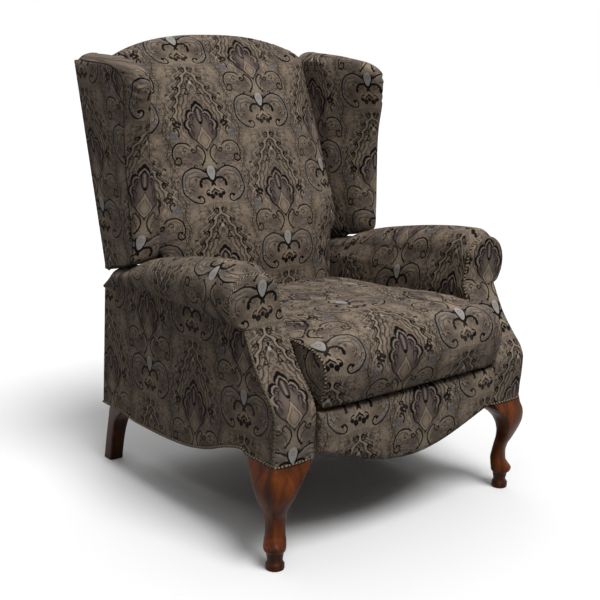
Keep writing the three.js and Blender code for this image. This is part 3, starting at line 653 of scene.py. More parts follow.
@dataclass
class Motif:
    """Folded coordinates of one repeat of a damask, in millimetres, and the shapes drawn on them."""

    board: Board
    spot: Socket
    x: Value
    y: Value
    soft: float = 0.45
    heavy: float = 1.25

    def away(self, x: float, y: float) -> Value:
        """Distance to a point."""
        return Value(self.board, self.board.vector("DISTANCE", self.spot, (x, y, 0.0), out=1))

    def angle(self, x: float, y: float, start: float) -> Value:
        """Share of a turn round a point, counted anticlockwise from a direction in degrees."""
        return ((self.y - y).math("ARCTAN2", self.x - x) / (2 * math.pi) - start / 360).fraction()

    def disc(self, x: float, y: float, radius: float) -> Value:
        """1 inside a circle."""
        return self.away(x, y).step(radius + self.soft, radius - self.soft)

    def stroke(self, distance: Value, width: float) -> Value:
        """1 within half a width of a line, given the distance from it."""
        half = width * self.heavy / 2
        return abs(distance).step(half + self.soft, max(half - self.soft, 0.05))

    def bow(self, x: float, y: float, start: float, span: float, first: float, last: float,
            width: float) -> Value:
        """1 on part of a spiral line.

        The line's distance from its eye goes from the first radius to the last as the angle goes
        anticlockwise from start over span.

        Args:
            x: Place of the eye across.
            y: Place of the eye along.
            start: Direction of the line's start, in degrees.
            span: Length of the line as an angle, in degrees.
            first: Distance from the eye at the start.
            last: Distance from the eye at the end.
            width: Width of the line.

        Returns:
            The mask.
        """
        turn = self.angle(x, y, start)
        distance = self.away(x, y) - first
        if last != first:
            distance = distance - turn * ((last - first) * 360 / span)
        mask = self.stroke(distance, width)
        return mask * turn.step(span / 360 + 0.004, span / 360 - 0.004) if span < 360 else mask

    def bows(self, rows: Sequence[tuple[float, ...]]) -> Value:
        """Several bows as one mask, from a row of arguments for each."""
        return reduce(Value.most, [self.bow(*row) for row in rows])

    def discs(self, rows: Sequence[tuple[float, ...]]) -> Value:
        """Several discs as one mask, from a row of arguments for each."""
        return reduce(Value.most, [self.disc(*row) for row in rows])


@dataclass(frozen=True)
class DamaskCloth:
    """Woven upholstery cloth: a half-drop damask of pointed arches, palmettes, drops and scrolls."""

    column: float = 195.0
    repeat: float = 370.0
    low: float = -207.0
    wobble: float = 2.4
    web_span: float = 75.0
    curl_cell: float = 33.0
    wave_pitch: float = 61.67
    leaf_pitch: float = 20.55
    hook_pitch: float = 27.0
    rib_pitch: float = 0.0011
    weft_pitch: float = 0.0008
    ground: Colour = srgb(148, 132, 115)
    shade: Colour = srgb(104, 92, 82)
    outline: Colour = srgb(18, 14, 16)
    plum: Colour = srgb(92, 80, 78)
    rose: Colour = srgb(128, 108, 97)
    pale: Colour = srgb(186, 182, 177)
    blue: Colour = srgb(118, 119, 122)
    light: Colour = srgb(168, 152, 132)
    palmette: tuple[tuple[float, float], ...] = (
        (0, 58), (0.063, 51.5), (0.116, 45), (0.134, 38), (0.17, 43), (0.244, 45), (0.315, 43), (0.372, 39),
        (0.388, 34), (0.41, 40.5), (0.471, 45.5), (0.528, 46.5), (0.583, 45.5), (0.614, 42.5), (0.672, 47),
        (0.74, 49), (0.82, 49.4), (0.917, 54.8), (0.97, 62), (1, 70))
    drop_width: tuple[tuple[float, float], ...] = (
        (0, 0.2), (0.1, 2.2), (0.3, 8), (0.5, 16), (0.6, 19), (0.7, 15.5), (0.85, 7), (1, 0.2))
    scroll_lines: tuple[tuple[float, ...], ...] = (
        (34.5, -80, 117, 121, 26.5, 27.5, 3.2), (23, -62, -55, 165, 6, 6.5, 3.0),
        (36.5, -66, 185, 172, 7.4, 7.8, 2.8), (67, -75, -32, 174, 28.5, 28.5, 3.0),
        (84, -91, 80, 278, 8.5, 9.5, 3.0), (47, -150, 0, 142, 38, 40, 3.0),
        (47, -150, -92, 92, 53, 38, 3.0), (46, -191, 20, 245, 6, 12, 3.2))
    scroll_inner: tuple[tuple[float, ...], ...] = (
        (50, -98, 95, 85, 33, 33, 1.8), (47, -152, -70, 190, 20, 20, 2.0), (47, -152, -40, 150, 31, 31, 1.5),
        (70, -74, -20, 150, 19, 20, 1.6), (62, -104, 60, 70, 22, 24, 1.8))

    def motif(self, board: Board) -> Motif:
        """Folds the cloth's coordinates into one half repeat and makes its lines unsteady.

        Column k is floor(u / W + 1/2), x is |u - W k|, and y is v - k H / 2 brought into one repeat.

        Args:
            board: The board of the material.

        Returns:
            The folded coordinates.
        """
        place = board.node("UVMap", {"uv_map": "cloth"}).outputs[0]
        u, v = (part * 1000 for part in board.parts(place)[:2])
        column = (u / self.column + 0.5).math("FLOOR")
        x = abs(u - column * self.column)
        dropped = v - column * (self.repeat / 2)
        y = dropped - ((dropped - self.low) / self.repeat).math("FLOOR") * self.repeat
        spot = board.node("CombineXYZ", X=x, Y=y).outputs[0]
        shake = board.node("TexNoise", Vector=spot, Scale=0.055, Detail=2.0).outputs["Color"]
        moved = board.vector("MULTIPLY_ADD", shake, (self.wobble * 2,) * 3, spot)
        spot = board.vector("SUBTRACT", moved, (self.wobble, self.wobble, self.wobble))
        flat = board.vector("MULTIPLY", spot, (1.0, 1.0, 0.0))
        return Motif(board, flat, *board.parts(flat)[:2])

    def draw(self, motif: Motif) -> Socket:
        """Lays the coats of all figures over the clouded ground, the farthest first."""
        cloud = motif.board.noise(motif.spot, 0.022, 2.0, 0.55)
        colour = motif.board.blend(cloud.step(0.36, 0.64), self.shade, self.ground)
        for part in (self.base, self.vine, self.arch, self.scrolls, self.leaf, self.drop):
            for mask, ink in part(motif):
                colour = motif.board.blend(mask, colour, ink)
        return colour

    def base(self, motif: Motif) -> Iterator[Coat]:
        """Tinted clouds, a web of half-tone figures, small scattered curls and flecks."""
        board = motif.board
        tint = board.noise(motif.spot, 0.03, 1.0, 0.5, 1.5)
        yield tint.step(0.5, 0.7) * 0.5, self.plum
        web = board.noise(motif.spot, 0.036, 1.5, 0.5, 2.4)
        yield motif.stroke((web - 0.56) * self.web_span, 2.8) * 0.4, self.light
        lines = [motif.stroke((web - level) * self.web_span, 2.0) for level in (0.5, 0.63)]
        yield lines[0].most(lines[1]) * 0.62, self.outline
        cell = board.node("TexVoronoi", Vector=motif.spot, Scale=1 / self.curl_cell)
        middle = board.vector("MULTIPLY", cell.outputs["Position"], (1, 1, 0))
        east, north, _ = board.parts(board.vector("SUBTRACT", motif.spot, middle))
        round_eye = north.math("ARCTAN2", east) / (2 * math.pi)
        curl = Value(board, cell.outputs["Distance"]) * self.curl_cell - 5.5 - round_eye * 5.0
        yield motif.stroke(curl, 2.2) * 0.8, self.outline
        yield motif.stroke(curl - 3.0, 2.4) * 0.35, self.light
        fleck = board.noise(motif.spot, 0.13, 1.0)
        yield fleck.step(0.66, 0.74) * 0.3, self.blue
        yield fleck.step(0.33, 0.26) * 0.35, self.rose

    def vine(self, motif: Motif) -> Iterator[Coat]:
        """Waving stem with hooked leaves between two columns of figures."""
        y, pitch = motif.y, self.leaf_pitch
        stem = motif.x - 91 - (y * (2 * math.pi / self.wave_pitch)).sine() * 4.5
        yield motif.stroke(stem, 2.0) * 0.6, self.outline
        beside = (y / pitch).fraction()
        leaves = ((abs(stem) - 4.5) / 3.6) ** 2.0 + ((beside - 0.5) * pitch / 6.5) ** 2.0
        yield leaves.step(1.2, 0.8) * 0.55, self.outline
        yield leaves.step(0.5, 0.3) * 0.5, self.light

    def arch(self, motif: Motif) -> Iterator[Coat]:
        """Pointed arch of leafy hooks with thin lines inside it, over the palmette."""
        x, y, pitch = motif.x, motif.y, self.hook_pitch
        rise = (y / 158).least(1.0).most(0.0)
        steep = (1 + (rise**0.6 * 0.729) ** 2.0) ** 0.5
        out = (x - 72 * (1 - rise**1.6)) / steep
        over = y.within(-12, 156, 4)
        yield (out * -1).step(-4, 10) * y.within(6, 150, 10) * 0.4, self.shade
        beside = (y / pitch).fraction()
        sway = ((beside - 0.5) * math.tau).sine()
        for off, swing, width, ink, strength in (
                (22, 4.5, 1.8, self.outline, 0.45), (13, 5.0, 4.0, self.light, 0.4),
                (9, 5.0, 2.2, self.outline, 0.65), (0, 4.0, 2.6, self.outline, 0.9),
                (-5, 3.0, 4.2, self.light, 0.55), (-10, 1.5, 2.2, self.outline, 0.8),
                (-17, 0.8, 3.4, self.light, 0.4), (-21, 1.5, 2.0, self.outline, 0.75),
                (-27, 2.0, 3.4, self.light, 0.4), (-32, 0, 1.8, self.outline, 0.6)):
            yield motif.stroke(out - off - sway * swing, width) * over * strength, ink
        hook = ((out - 3.5) ** 2.0 + ((beside - 0.42) * pitch) ** 2.0) ** 0.5
        yield motif.stroke(hook - 6.0, 2.6) * beside.step(0.3, 0.4) * over, self.outline
        yield hook.step(3.0, 2.0) * over * 0.9, self.outline
        second = ((out + 13) ** 2.0 + ((beside - 0.8) * pitch) ** 2.0) ** 0.5
        yield motif.stroke(second - 3.6, 2.2) * over * y.step(40, 52) * 0.8, self.outline
        top = motif.bows(((21, 86, 60, 200, 9, 7, 2.4), (10, 104, -30, 150, 6, 6, 2.2)))
        yield top * 0.85, self.outline
        yield motif.disc(0, 111, 4.6) * 0.7, self.pale
        yield motif.discs(((0, 122, 4.0), (7, 113, 3.6), (21, 80, 3.0))) * 0.9, self.outline

    def scrolls(self, motif: Motif) -> Iterator[Coat]:
        """Two pairs of scrolls drawn in dark line, on faint fills, and the stem between them."""
        x, y = motif.x, motif.y
        stem = x - 8 - ((y + 80) / 9.5) ** 2.0
        yield stem.step(1.5, -1.5) * y.within(-114, -64, 3) * 0.5, self.light
        yield motif.away(50, -92).step(30, 12) * 0.4, self.plum
        yield motif.bow(47, -150, -80, 222, 45, 29, 11) * 0.3, self.blue
        yield motif.bow(67, -75, -10, 150, 23.5, 23.5, 7) * 0.35, self.light
        yield motif.bow(34.5, -80, 125, 110, 22, 22, 5) * 0.4, self.light
        yield motif.bow(47, -150, -75, 215, 41, 34.2, 2.2) * 0.35, self.light
        yield motif.disc(66, -142, 5.5) * 0.5, self.blue
        yield motif.bows(self.scroll_inner) * 0.65, self.outline
        yield motif.bows(self.scroll_lines), self.outline
        yield motif.discs(((86, -84, 3.4), (20, -104, 3.0), (49, -186, 4.2))), self.outline

    def leaf(self, motif: Motif) -> Iterator[Coat]:
        """Palmette: a lobed leaf in a double outline, with a bud at its foot and blossoms beside it."""
        x, y = motif.x, motif.y
        petals = motif.away(82, -30)
        ring = (motif.angle(82, -30, 0) * (2 * math.pi * 5)).sine() * 2.0
        yield (petals + ring).step(13, 8) * 0.6, self.blue
        yield motif.stroke(petals - 5, 1.6) * 0.4, self.outline
        thorns = motif.discs(((59, 2, 4.6), (66, 6, 5.4), (74, 1, 5.0), (69, -5, 4.4), (63, -6, 3.4)))
        yield thorns.most(motif.bow(81, -20, 140, 85, 15, 15, 3.2)) * 0.95, self.outline
        turn = abs(x.math("ARCTAN2", y) / math.pi)
        edge = motif.away(0, 0) / turn.table(self.palmette)
        yield edge.within(1.19, 1.24, 0.02) * turn.step(0.7, 0.6) * 0.6, self.outline
        yield edge.step(1.2, 1.04) * 0.6, self.plum
        yield edge.step(0.97, 0.95) * 0.9, self.plum
        yield edge.step(0.62, 0.2) * 0.2, self.light
        thick = 0.08 - turn.step(0.6, 0.68) * 0.042
        yield (abs(edge - 0.985) - thick).step(0.012, -0.012), self.outline
        yield edge.within(0.80, 0.88, 0.014) * turn.step(0.8, 0.7) * 0.55, self.light
        yield edge.within(0.69, 0.745, 0.014) * turn.step(0.72, 0.64), self.outline
        yield edge.within(0.5, 0.55, 0.014) * turn.within(0.16, 0.7, 0.04) * 0.6, self.outline
        curls = motif.bows(((23, 16, 20, 230, 5, 5, 2.4), (27, -6, -20, 230, 5, 5, 2.4)))
        yield curls * 0.75, self.outline
        yield motif.away(31, -25).step(12, 5) * 0.7, self.outline
        blade = (x / 9.5) ** 2.0 + ((y - 23) / 24) ** 2.0
        yield blade.step(1.15, 0.95) * 0.85, self.outline
        yield blade.step(0.62, 0.45) * 0.75, self.plum
        yield x.step(3.2, 2.2) * y.within(8, 38, 3) * 0.5, self.light
        yield motif.disc(0, 2, 4.2), self.outline
        bud = x - ((-8 - y) / 58).least(1.0).most(0.0).table(self.drop_width)
        yield bud.step(3.8, 2.8) * y.within(-58, -4, 1.5) * 0.7, self.outline
        yield bud.step(1.8, 0.8) * y.within(-64, -7, 1.0) * 0.8, self.light
        yield bud.step(-1.0, -2.0) * y.within(-60, -10, 1.0) * 0.6, self.rose
        yield motif.stroke(bud + 5.5, 1.6) * y.within(-58, -22, 2.0) * 0.7, self.outline
        yield motif.away(0, -46).step(13, 2) * 0.35, self.light

    def drop(self, motif: Motif) -> Iterator[Coat]:
        """Pale drop in a dark cup, with two thick arms below it and a small three-lobed foot."""
        x, y = motif.x, motif.y
        arms = motif.bow(20, -156, 5, 150, 16.5, 18, 4.6).most(motif.disc(36, -154, 4.6))
        yield arms.most(motif.disc(35.5, -159, 3.6)), self.outline
        fall = (x / (11.5 * (1 + (y + 122) * 0.014))) ** 2.0 + ((y + 126) / 18) ** 2.0
        cup = fall.step(2.1, 1.8) * y.step(-112, -120)
        neck = (x - 4.2).step(0.6, -0.6) * y.within(-159, -138, 1.0)
        yield cup.most(neck), self.outline
        yield fall.step(1.0, 0.86) * 0.75, self.pale
        yield motif.stroke(motif.away(0, -122) - 4.2, 1.4) * 0.45, self.shade
        peak = (y + 160 + x * 0.9) * 0.74
        yield motif.stroke(peak, 4.4) * x.step(15, 12) * 0.75, self.light
        yield motif.stroke(peak + 5.2, 2.6) * x.step(12, 10), self.outline
        foot = motif.discs(((0, -180, 5.2), (11, -186, 6.6), (20.5, -181, 5.0)))
        yield foot.most(motif.bow(17, -177, -70, 190, 8, 7, 2.6)), self.outline

    def material(self, name: str) -> bpy.types.Material:
        """Builds the material on the piece's own cloth coordinates.

        The bump adds fine diagonal ribs of a 1.1 mm pitch, crossed by weft threads of 0.8 mm.

        Args:
            name: Name of the material.

        Returns:
            The material.
        """
        board = Board(name)
        colour = self.draw(self.motif(board))
        place = board.node("UVMap", {"uv_map": "cloth"}).outputs[0]
        u, v, _ = board.parts(place)
        rib = ((u + v * 0.5) * (2 * math.pi / self.rib_pitch)).sine() * 0.5 + 0.5
        weft = (v * (2 * math.pi / self.weft_pitch)).sine() * 0.5 + 0.5
        thread = rib * weft
        grain = board.noise(place, 900.0, 2.0)
        worn = board.noise(place, 9.0, 3.0)
        # Painted shade of the gaps between threads, with fine random grain, mixed into the figure's colour.
        shaded = board.blend(thread * 0.22 + grain * 0.16, colour, THREAD_GAP_SHADE)
        shaded = board.blend(worn.step(0.45, 0.75) * 0.12, shaded, self.light)
        height = thread * 0.5 + grain * 0.5
        bump = board.node("Bump", Strength=0.45, Distance=0.0006, Height=height)
        return board.surface(Base_Color=shaded, Roughness=0.78 + grain * 0.15, Normal=bump.outputs[0],
                             Sheen_Weight=0.02, Sheen_Roughness=0.4, Specular_IOR_Level=0.04)


@dataclass(frozen=True)
class WeltCord:
    """Cord in the same cloth, on which the figure breaks into light and dark dashes."""

    name: str = "welt_cord"
    light: Colour = srgb(164, 149, 124)
    dark: Colour = srgb(48, 41, 38)
    dash_pitch: float = 0.0085
    thread_pitch: float = 0.001

    def material(self) -> bpy.types.Material:
        """Builds the material: slanted dashes of uneven length along the cord."""
        board = Board(self.name)
        place = board.node("UVMap", {"uv_map": "cloth"}).outputs[0]
        u, v, _ = board.parts(place)
        drift = board.noise(place, 60.0, 1.0)
        twist = ((v + u * 0.6) * (2 * math.pi / self.dash_pitch) + drift * 7).sine()
        thread = ((v - u) * (2 * math.pi / self.thread_pitch)).sine() * 0.5 + 0.5
        colour = board.blend(twist.step(-0.1, 0.45), self.dark, self.light)
        # Painted shade of the gaps between the cord's threads.
        colour = board.blend(thread * 0.3, colour, THREAD_GAP_SHADE)
        bump = board.node("Bump", Strength=0.4, Distance=0.0005, Height=thread + twist * 0.5)
        return board.surface(Base_Color=colour, Roughness=0.8, Normal=bump.outputs[0],
                             Specular_IOR_Level=0.05, Sheen_Weight=0.03)


@dataclass(frozen=True)
class CherryWood:
    """Lacquered cherry stained reddish brown, with grain along the height."""

    light: Colour = srgb(116, 58, 18)
    dark: Colour = srgb(60, 26, 7)
    pore: Colour = srgb(26, 10, 4)
    # Share of painted shade over all of the wood, for legs that stand in shade.
    shade: float = 0.0

    def material(self, name: str) -> bpy.types.Material:
        """Builds the material: noise stretched along the height, with fine pores and worn lighter ridges.

        Args:
            name: Name of the material.

        Returns:
            The material.
        """
        board = Board(name)
        place = board.node("TexCoord").outputs["Object"]
        along = board.node("Mapping", Vector=place, Scale=(1.0, 1.0, 0.16)).outputs[0]
        broad = board.noise(along, 38.0, 3.0, 0.55, 0.8)
        ring = ((broad * 26).sine() * 0.5 + 0.5) ** 2.0
        drawn_out = board.node("Mapping", Vector=place, Scale=(1.0, 1.0, 0.05)).outputs[0]
        fine = board.noise(drawn_out, 900.0, 2.0)
        colour = board.blend(broad.step(0.3, 0.7), self.dark, self.light)
        colour = board.blend(ring * 0.25, colour, self.dark)
        colour = board.blend(fine.step(0.6, 0.75) * 0.5, colour, self.pore)
        height_up = board.parts(place)[2] * 1000
        # Darker foot below 40 mm; the band from 16 to 19 mm is painted shade in the groove of the foot, and
        # self.shade adds painted shade over the whole piece.
        dark_foot_and_groove_shade = height_up.step(43, 40).most(height_up.within(16, 19, 1.5)) * 0.6
        colour = board.blend(dark_foot_and_groove_shade.most(self.shade), colour, self.pore)
        height = fine * 0.3 + broad * 0.7
        bump = board.node("Bump", Strength=0.06, Distance=0.0006, Height=height)
        return board.surface(Base_Color=colour, Roughness=0.3 + fine * 0.12, Normal=bump.outputs[0],
                             Specular_IOR_Level=0.06, Coat_Weight=0.12, Coat_Roughness=0.08)


@dataclass(frozen=True)
class PlainFinish:
    """Finish of one colour with a little variation."""

    name: str
    light: Colour
    dark: Colour
    roughness: float
    metallic: float = 0.0
    scale: Sequence[float] = (30.0, 30.0, 30.0)

    def material(self) -> bpy.types.Material:
        """Builds the material on object coordinates."""
        board = Board(self.name)
        place = board.node("TexCoord").outputs["Object"]
        stretched = board.node("Mapping", Vector=place, Scale=self.scale).outputs[0]
        cloud = board.noise(stretched, 1.0, 5.0)
        colour = board.blend(cloud.step(0.3, 0.7), self.dark, self.light)
        bump = board.node("Bump", Strength=0.1, Distance=0.001, Height=cloud)
        return board.surface(Base_Color=colour, Roughness=self.roughness, Metallic=self.metallic,
                             Specular_IOR_Level=0.1, Normal=bump.outputs[0])


# Where the pattern starts on each cut of cloth, in millimetres across and up
CLOTH_STARTS: dict[str, tuple[float, float]] = {
    "seat": (59, -92), "seat_side": (0, -40), "back": (117, -518), "pad": (-31, -302),
    "facing_left": (41, -148), "facing_right": (23, -369), "panel": (-304, -283),
    "roll_left": (-182, 514), "roll_right": (-339, 699),
    "wing_outer": (-26, -290), "wing_front_left": (-221, -214), "wing_front_right": (-221, -214),
}


def cut(name: str, side: Optional[Side] = None) -> Array:
    """Start of the pattern on a cut of cloth, by its name and side."""
    return np.asarray(CLOTH_STARTS[name if side is None else f"{name}_{side.word}"], float)


# Shapes shared by several pieces


@dataclass
class ChairLines:
    """Lines of the chair that several pieces follow, in millimetres."""

    half_width: float = 372.0
    arm_width: float = 100.0
    back_height: float = 1104.0
    arm_height: float = 622.0
    neck_height: float = 511.0
    front_leg_height: float = 239.0
    rear_leg_height: float = 180.7
    side_depth: float = 745.0
    arm_top_depth: float = 706.0
    roll_setback: float = 100.0
    roll_overhang: float = 36.0
    roll_inner_lean: float = 12.0
    roll_middle_share: float = 0.477
    roll_square_share: float = 0.85
    back_rear_depth: float = 692.0
    back_lean: float = 13.2
    back_bend_height: float = 556.0
    side_half_width: float = 290.0
    crest_drop: float = 52.0
    crest_power: float = 2.5
    facing_curve: Table = (
        (0, 0), (0.12, -0.02), (0.24, -0.06), (0.38, -0.08), (0.463, 0), (0.577, 0.26),
        (0.72, 0.57), (0.868, 0.8), (0.96, 0.92), (1, 0.97), (1.06, 1))
    arm_top: Table = (
        (0, 1), (0.05, 1.03), (0.134, 1.027), (0.264, 1.016), (0.495, 0.984), (0.66, 0.952),
        (0.734, 0.928), (0.8, 0.902), (0.924, 0.883), (0.949, 0.857), (1, 0.809))
    arm_neck: Table = ((0, 1), (0.28, 1.016), (0.635, 1.018), (0.87, 0.99), (1, 0.96))
    arm_overhang: Table = ((0, 0.92), (0.17, 1), (0.5, 0.83), (0.74, 0.55), (0.89, 0.28), (1, 0.14))
    side_hem: Table = (
        (0, 1), (0.137, 1), (0.16, 1.03), (0.23, 0.983), (0.364, 0.837), (0.485, 0.766),
        (0.624, 0.736), (0.773, 0.729), (0.88, 0.7565), (1, 0.7565))

    @property
    def arm_inner(self) -> float:
        """Where the inner face of an arm stands."""
        return self.half_width - self.arm_width

    @property
    def slope(self) -> float:
        """How far the back leans for each millimetre of height."""
        return math.tan(math.radians(self.back_lean))

    def facing_depth(self, z: Array) -> Array:
        """Depth of the facing's S-curve at a height: a share of the setback."""
        place = (z - self.front_leg_height) / (self.neck_height - self.front_leg_height)
        return self.roll_setback * follow(self.facing_curve, place)

    def hem_height(self, y: Array) -> Array:
        """Height of the side's lower edge at a depth."""
        return TOUCH_GAP + self.front_leg_height * follow(self.side_hem, y / self.side_depth)

    def side_rear(self, z: Array) -> Array:
        """Depth of the arm's rear edge: a straight line from leg to neck, run on above it."""
        rise = (z - self.rear_leg_height) / (self.neck_height - self.rear_leg_height)
        return self.side_depth - (self.side_depth - self.arm_top_depth) * rise

    def back_rear(self, z: Array) -> Array:
        """Depth of the back's rear face: upright below the bend, leaning above it."""
        return self.back_rear_depth + np.maximum(0, z - self.back_bend_height) * self.slope

    def crest_height(self, x: Array) -> Array:
        """Height of the crest: the back's height less a power of the distance from the middle."""
        drop = np.minimum(1.2, (np.abs(x) / self.side_half_width) ** self.crest_power)
        return self.back_height - self.crest_drop * drop

    def arm_section(self, share: Array, hem: Array, panel: Array, roll: Array) -> tuple[Array, Array, Array]:
        """Heights and faces of the arm, level by level, from the hem over the panel to the crown.

        The roll is a half ellipse below its middle, z = m + (m - neck) sin a, and above it a squarer
        one, whose half width is cos(a) to the power 0.85.

        Args:
            share: Places along the roll, of shape (rows, 1).
            hem: Height of the hem at each of them, same shape.
            panel: Shares of the way from hem to neck, of shape (n,).
            roll: Angles in degrees from the neck (-90) to the crown (90), of shape (m,).

        Returns:
            Arrays (rows, n + m) of height, inner x and outer x.
        """
        neck = self.neck_height * follow(self.arm_neck, share)
        top = self.arm_height * follow(self.arm_top, share)
        overhang = self.roll_overhang * follow(self.arm_overhang, share)
        middle = mix(neck, top, self.roll_middle_share)
        inner = self.arm_inner + self.roll_inner_lean
        outer = self.half_width + overhang
        crown = (inner + outer) / 2
        flat = np.ones_like(share) * np.ones_like(panel)
        angle = np.radians(roll)[None, :]
        rise, cosine = np.sin(angle), np.maximum(np.cos(angle), 0)
        lower = rise < 0
        reach = np.where(lower, cosine, cosine**self.roll_square_share)
        height = middle + np.where(lower, middle - neck, top - middle) * rise
        low_inner = self.arm_inner + self.roll_inner_lean * (1 + rise)
        roll_inner = np.where(lower, low_inner, crown - (crown - inner) * reach)
        roll_outer = np.where(lower, self.half_width + overhang * reach, crown + (outer - crown) * reach)
        return (np.concatenate([mix(hem, neck, panel[None, :]), height], 1),
                np.concatenate([self.arm_inner * flat, roll_inner], 1),
                np.concatenate([self.half_width * flat, roll_outer], 1))


LINES = ChairLines()


def band(near: Array, far: Array, steps: int, crown: Sequence[float] = (0, 0, 0)) -> Patch:
    """Grid between two facing edges, with an optional crown.

    Args:
        near: Points (n, 3) of one edge.
        far: Points (n, 3) of the other edge.
        steps: Number of points from edge to edge.
        crown: Displacement of the middle; it falls to nothing at all four edges, as sin * sin.

    Returns:
        Patch of shape (n, steps).
    """
    share = np.linspace(0, 1, steps)
    points = near[:, None, :] + (far - near)[:, None, :] * share[None, :, None]
    along = np.sin(math.pi * np.linspace(0, 1, len(near))) ** 0.5
    weight = along[:, None] * np.sin(math.pi * share)[None, :]
    points = points + weight[..., None] * np.asarray(crown, float)
    return Patch(points, np.zeros(points.shape[:2] + (2,)))


@dataclass
class ShellLook:
    """How the six faces of a shell are closed and which material each takes.

    The faces are near, far, the bands at the first and last row, and at the first and last column.
    """

    steps: int = 5
    crowns: tuple[Sequence[float], ...] = ((0, 0, 0),) * 4
    materials: tuple[int, ...] = (0,) * 6


def shell(draft: MeshDraft, near: Patch, far: Patch, look: ShellLook = ShellLook()) -> MeshDraft:
    """Adds a closed form of six faces: two facing grids and the four bands between their edges.

    Args:
        draft: Where it goes.
        near: The grid that is seen most.
        far: The grid behind it, of the same shape.
        look: Steps, crowns and materials.

    Returns:
        The draft.
    """
    draft.add(near, look.materials[0]).add(far, look.materials[1])
    return close_edges(draft, near, far, look)


def close_edges(draft: MeshDraft, near: Patch, far: Patch, look: ShellLook) -> MeshDraft:
    """Adds the four bands between the edges of two facing grids; their cloth runs on from the near one.

    Args:
        draft: Where they go.
        near: The grid that is seen most.
        far: The grid behind it.
        look: Steps, crowns and materials.

    Returns:
        The draft.
    """
    rows = ((0, slice(None)), (-1, slice(None)), (slice(None), 0), (slice(None), -1))
    for edge, crown, material in zip(rows, look.crowns, look.materials[2:]):
        side = band(near.points[edge], far.points[edge], look.steps, crown)
        start = near.cloth[edge]
        reach = run_length(side.points, 1)
        out = np.zeros(2)
        if edge[0] == slice(None):
            out[1] = -1 if edge[1] == 0 else 1
        else:
            out[0] = -1 if edge[0] == 0 else 1
        side.cloth = start[:, None, :] + reach[..., None] * out
        draft.add(side, material)
    return draft


def rounded(count: int, power: float = 1.0) -> Array:
    """Shares from -1 to 1, closer together towards both ends: sin of evenly spaced angles."""
    angle = np.linspace(-math.pi / 2, math.pi / 2, count)
    return np.sign(angle) * np.abs(np.sin(angle)) ** power


def edge_fall(distance: Array, radius: float, share: float = 1.0) -> Array:
    """How far a surface falls away beside an edge: a quarter circle, scaled by a share."""
    left = np.clip(radius - distance, 0, radius)
    return share * (radius - np.sqrt(np.maximum(radius**2 - left**2, 0)))


def profile_inward(points: Array) -> Array:
    """Unit vectors square to the columns of a grid, in the depth and height plane, turned to the
    right of their direction: (0, dz, -dy) over its length."""
    step = np.gradient(points, axis=1)
    inward = np.stack([np.zeros(points.shape[:2]), step[..., 2], -step[..., 1]], -1)
    return inward / np.maximum(np.linalg.norm(inward, axis=-1, keepdims=True), 1e-9)


# Sub-assemblies of the chair


@dataclass
class Dress:
    """The finished materials, by name, and the step that puts each piece on its body."""

    cloth: bpy.types.Material
    welt: bpy.types.Material
    # Cord whose dark colours are painted shade of the sunk seam it lies in.
    dark_welt: bpy.types.Material
    leg: bpy.types.Material
    rear_leg: bpy.types.Material
    frame: bpy.types.Material
    lining: bpy.types.Material
    steel: bpy.types.Material

    def enter(self, thing: bpy.types.Object, body: str, replaces: Sequence[str] = ()) -> bpy.types.Object:
        """Puts a piece on its body and hides the nodes that it stands for.

        Args:
            thing: The piece.
            body: Body that it rides on.
            replaces: Nodes that it stands for.

        Returns:
            The piece.
        """
        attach(thing, body)
        if replaces:
            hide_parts(*replaces)
        LOG.info("%s: %d faces on %s", thing.name, len(thing.data.polygons), body)
        return thing


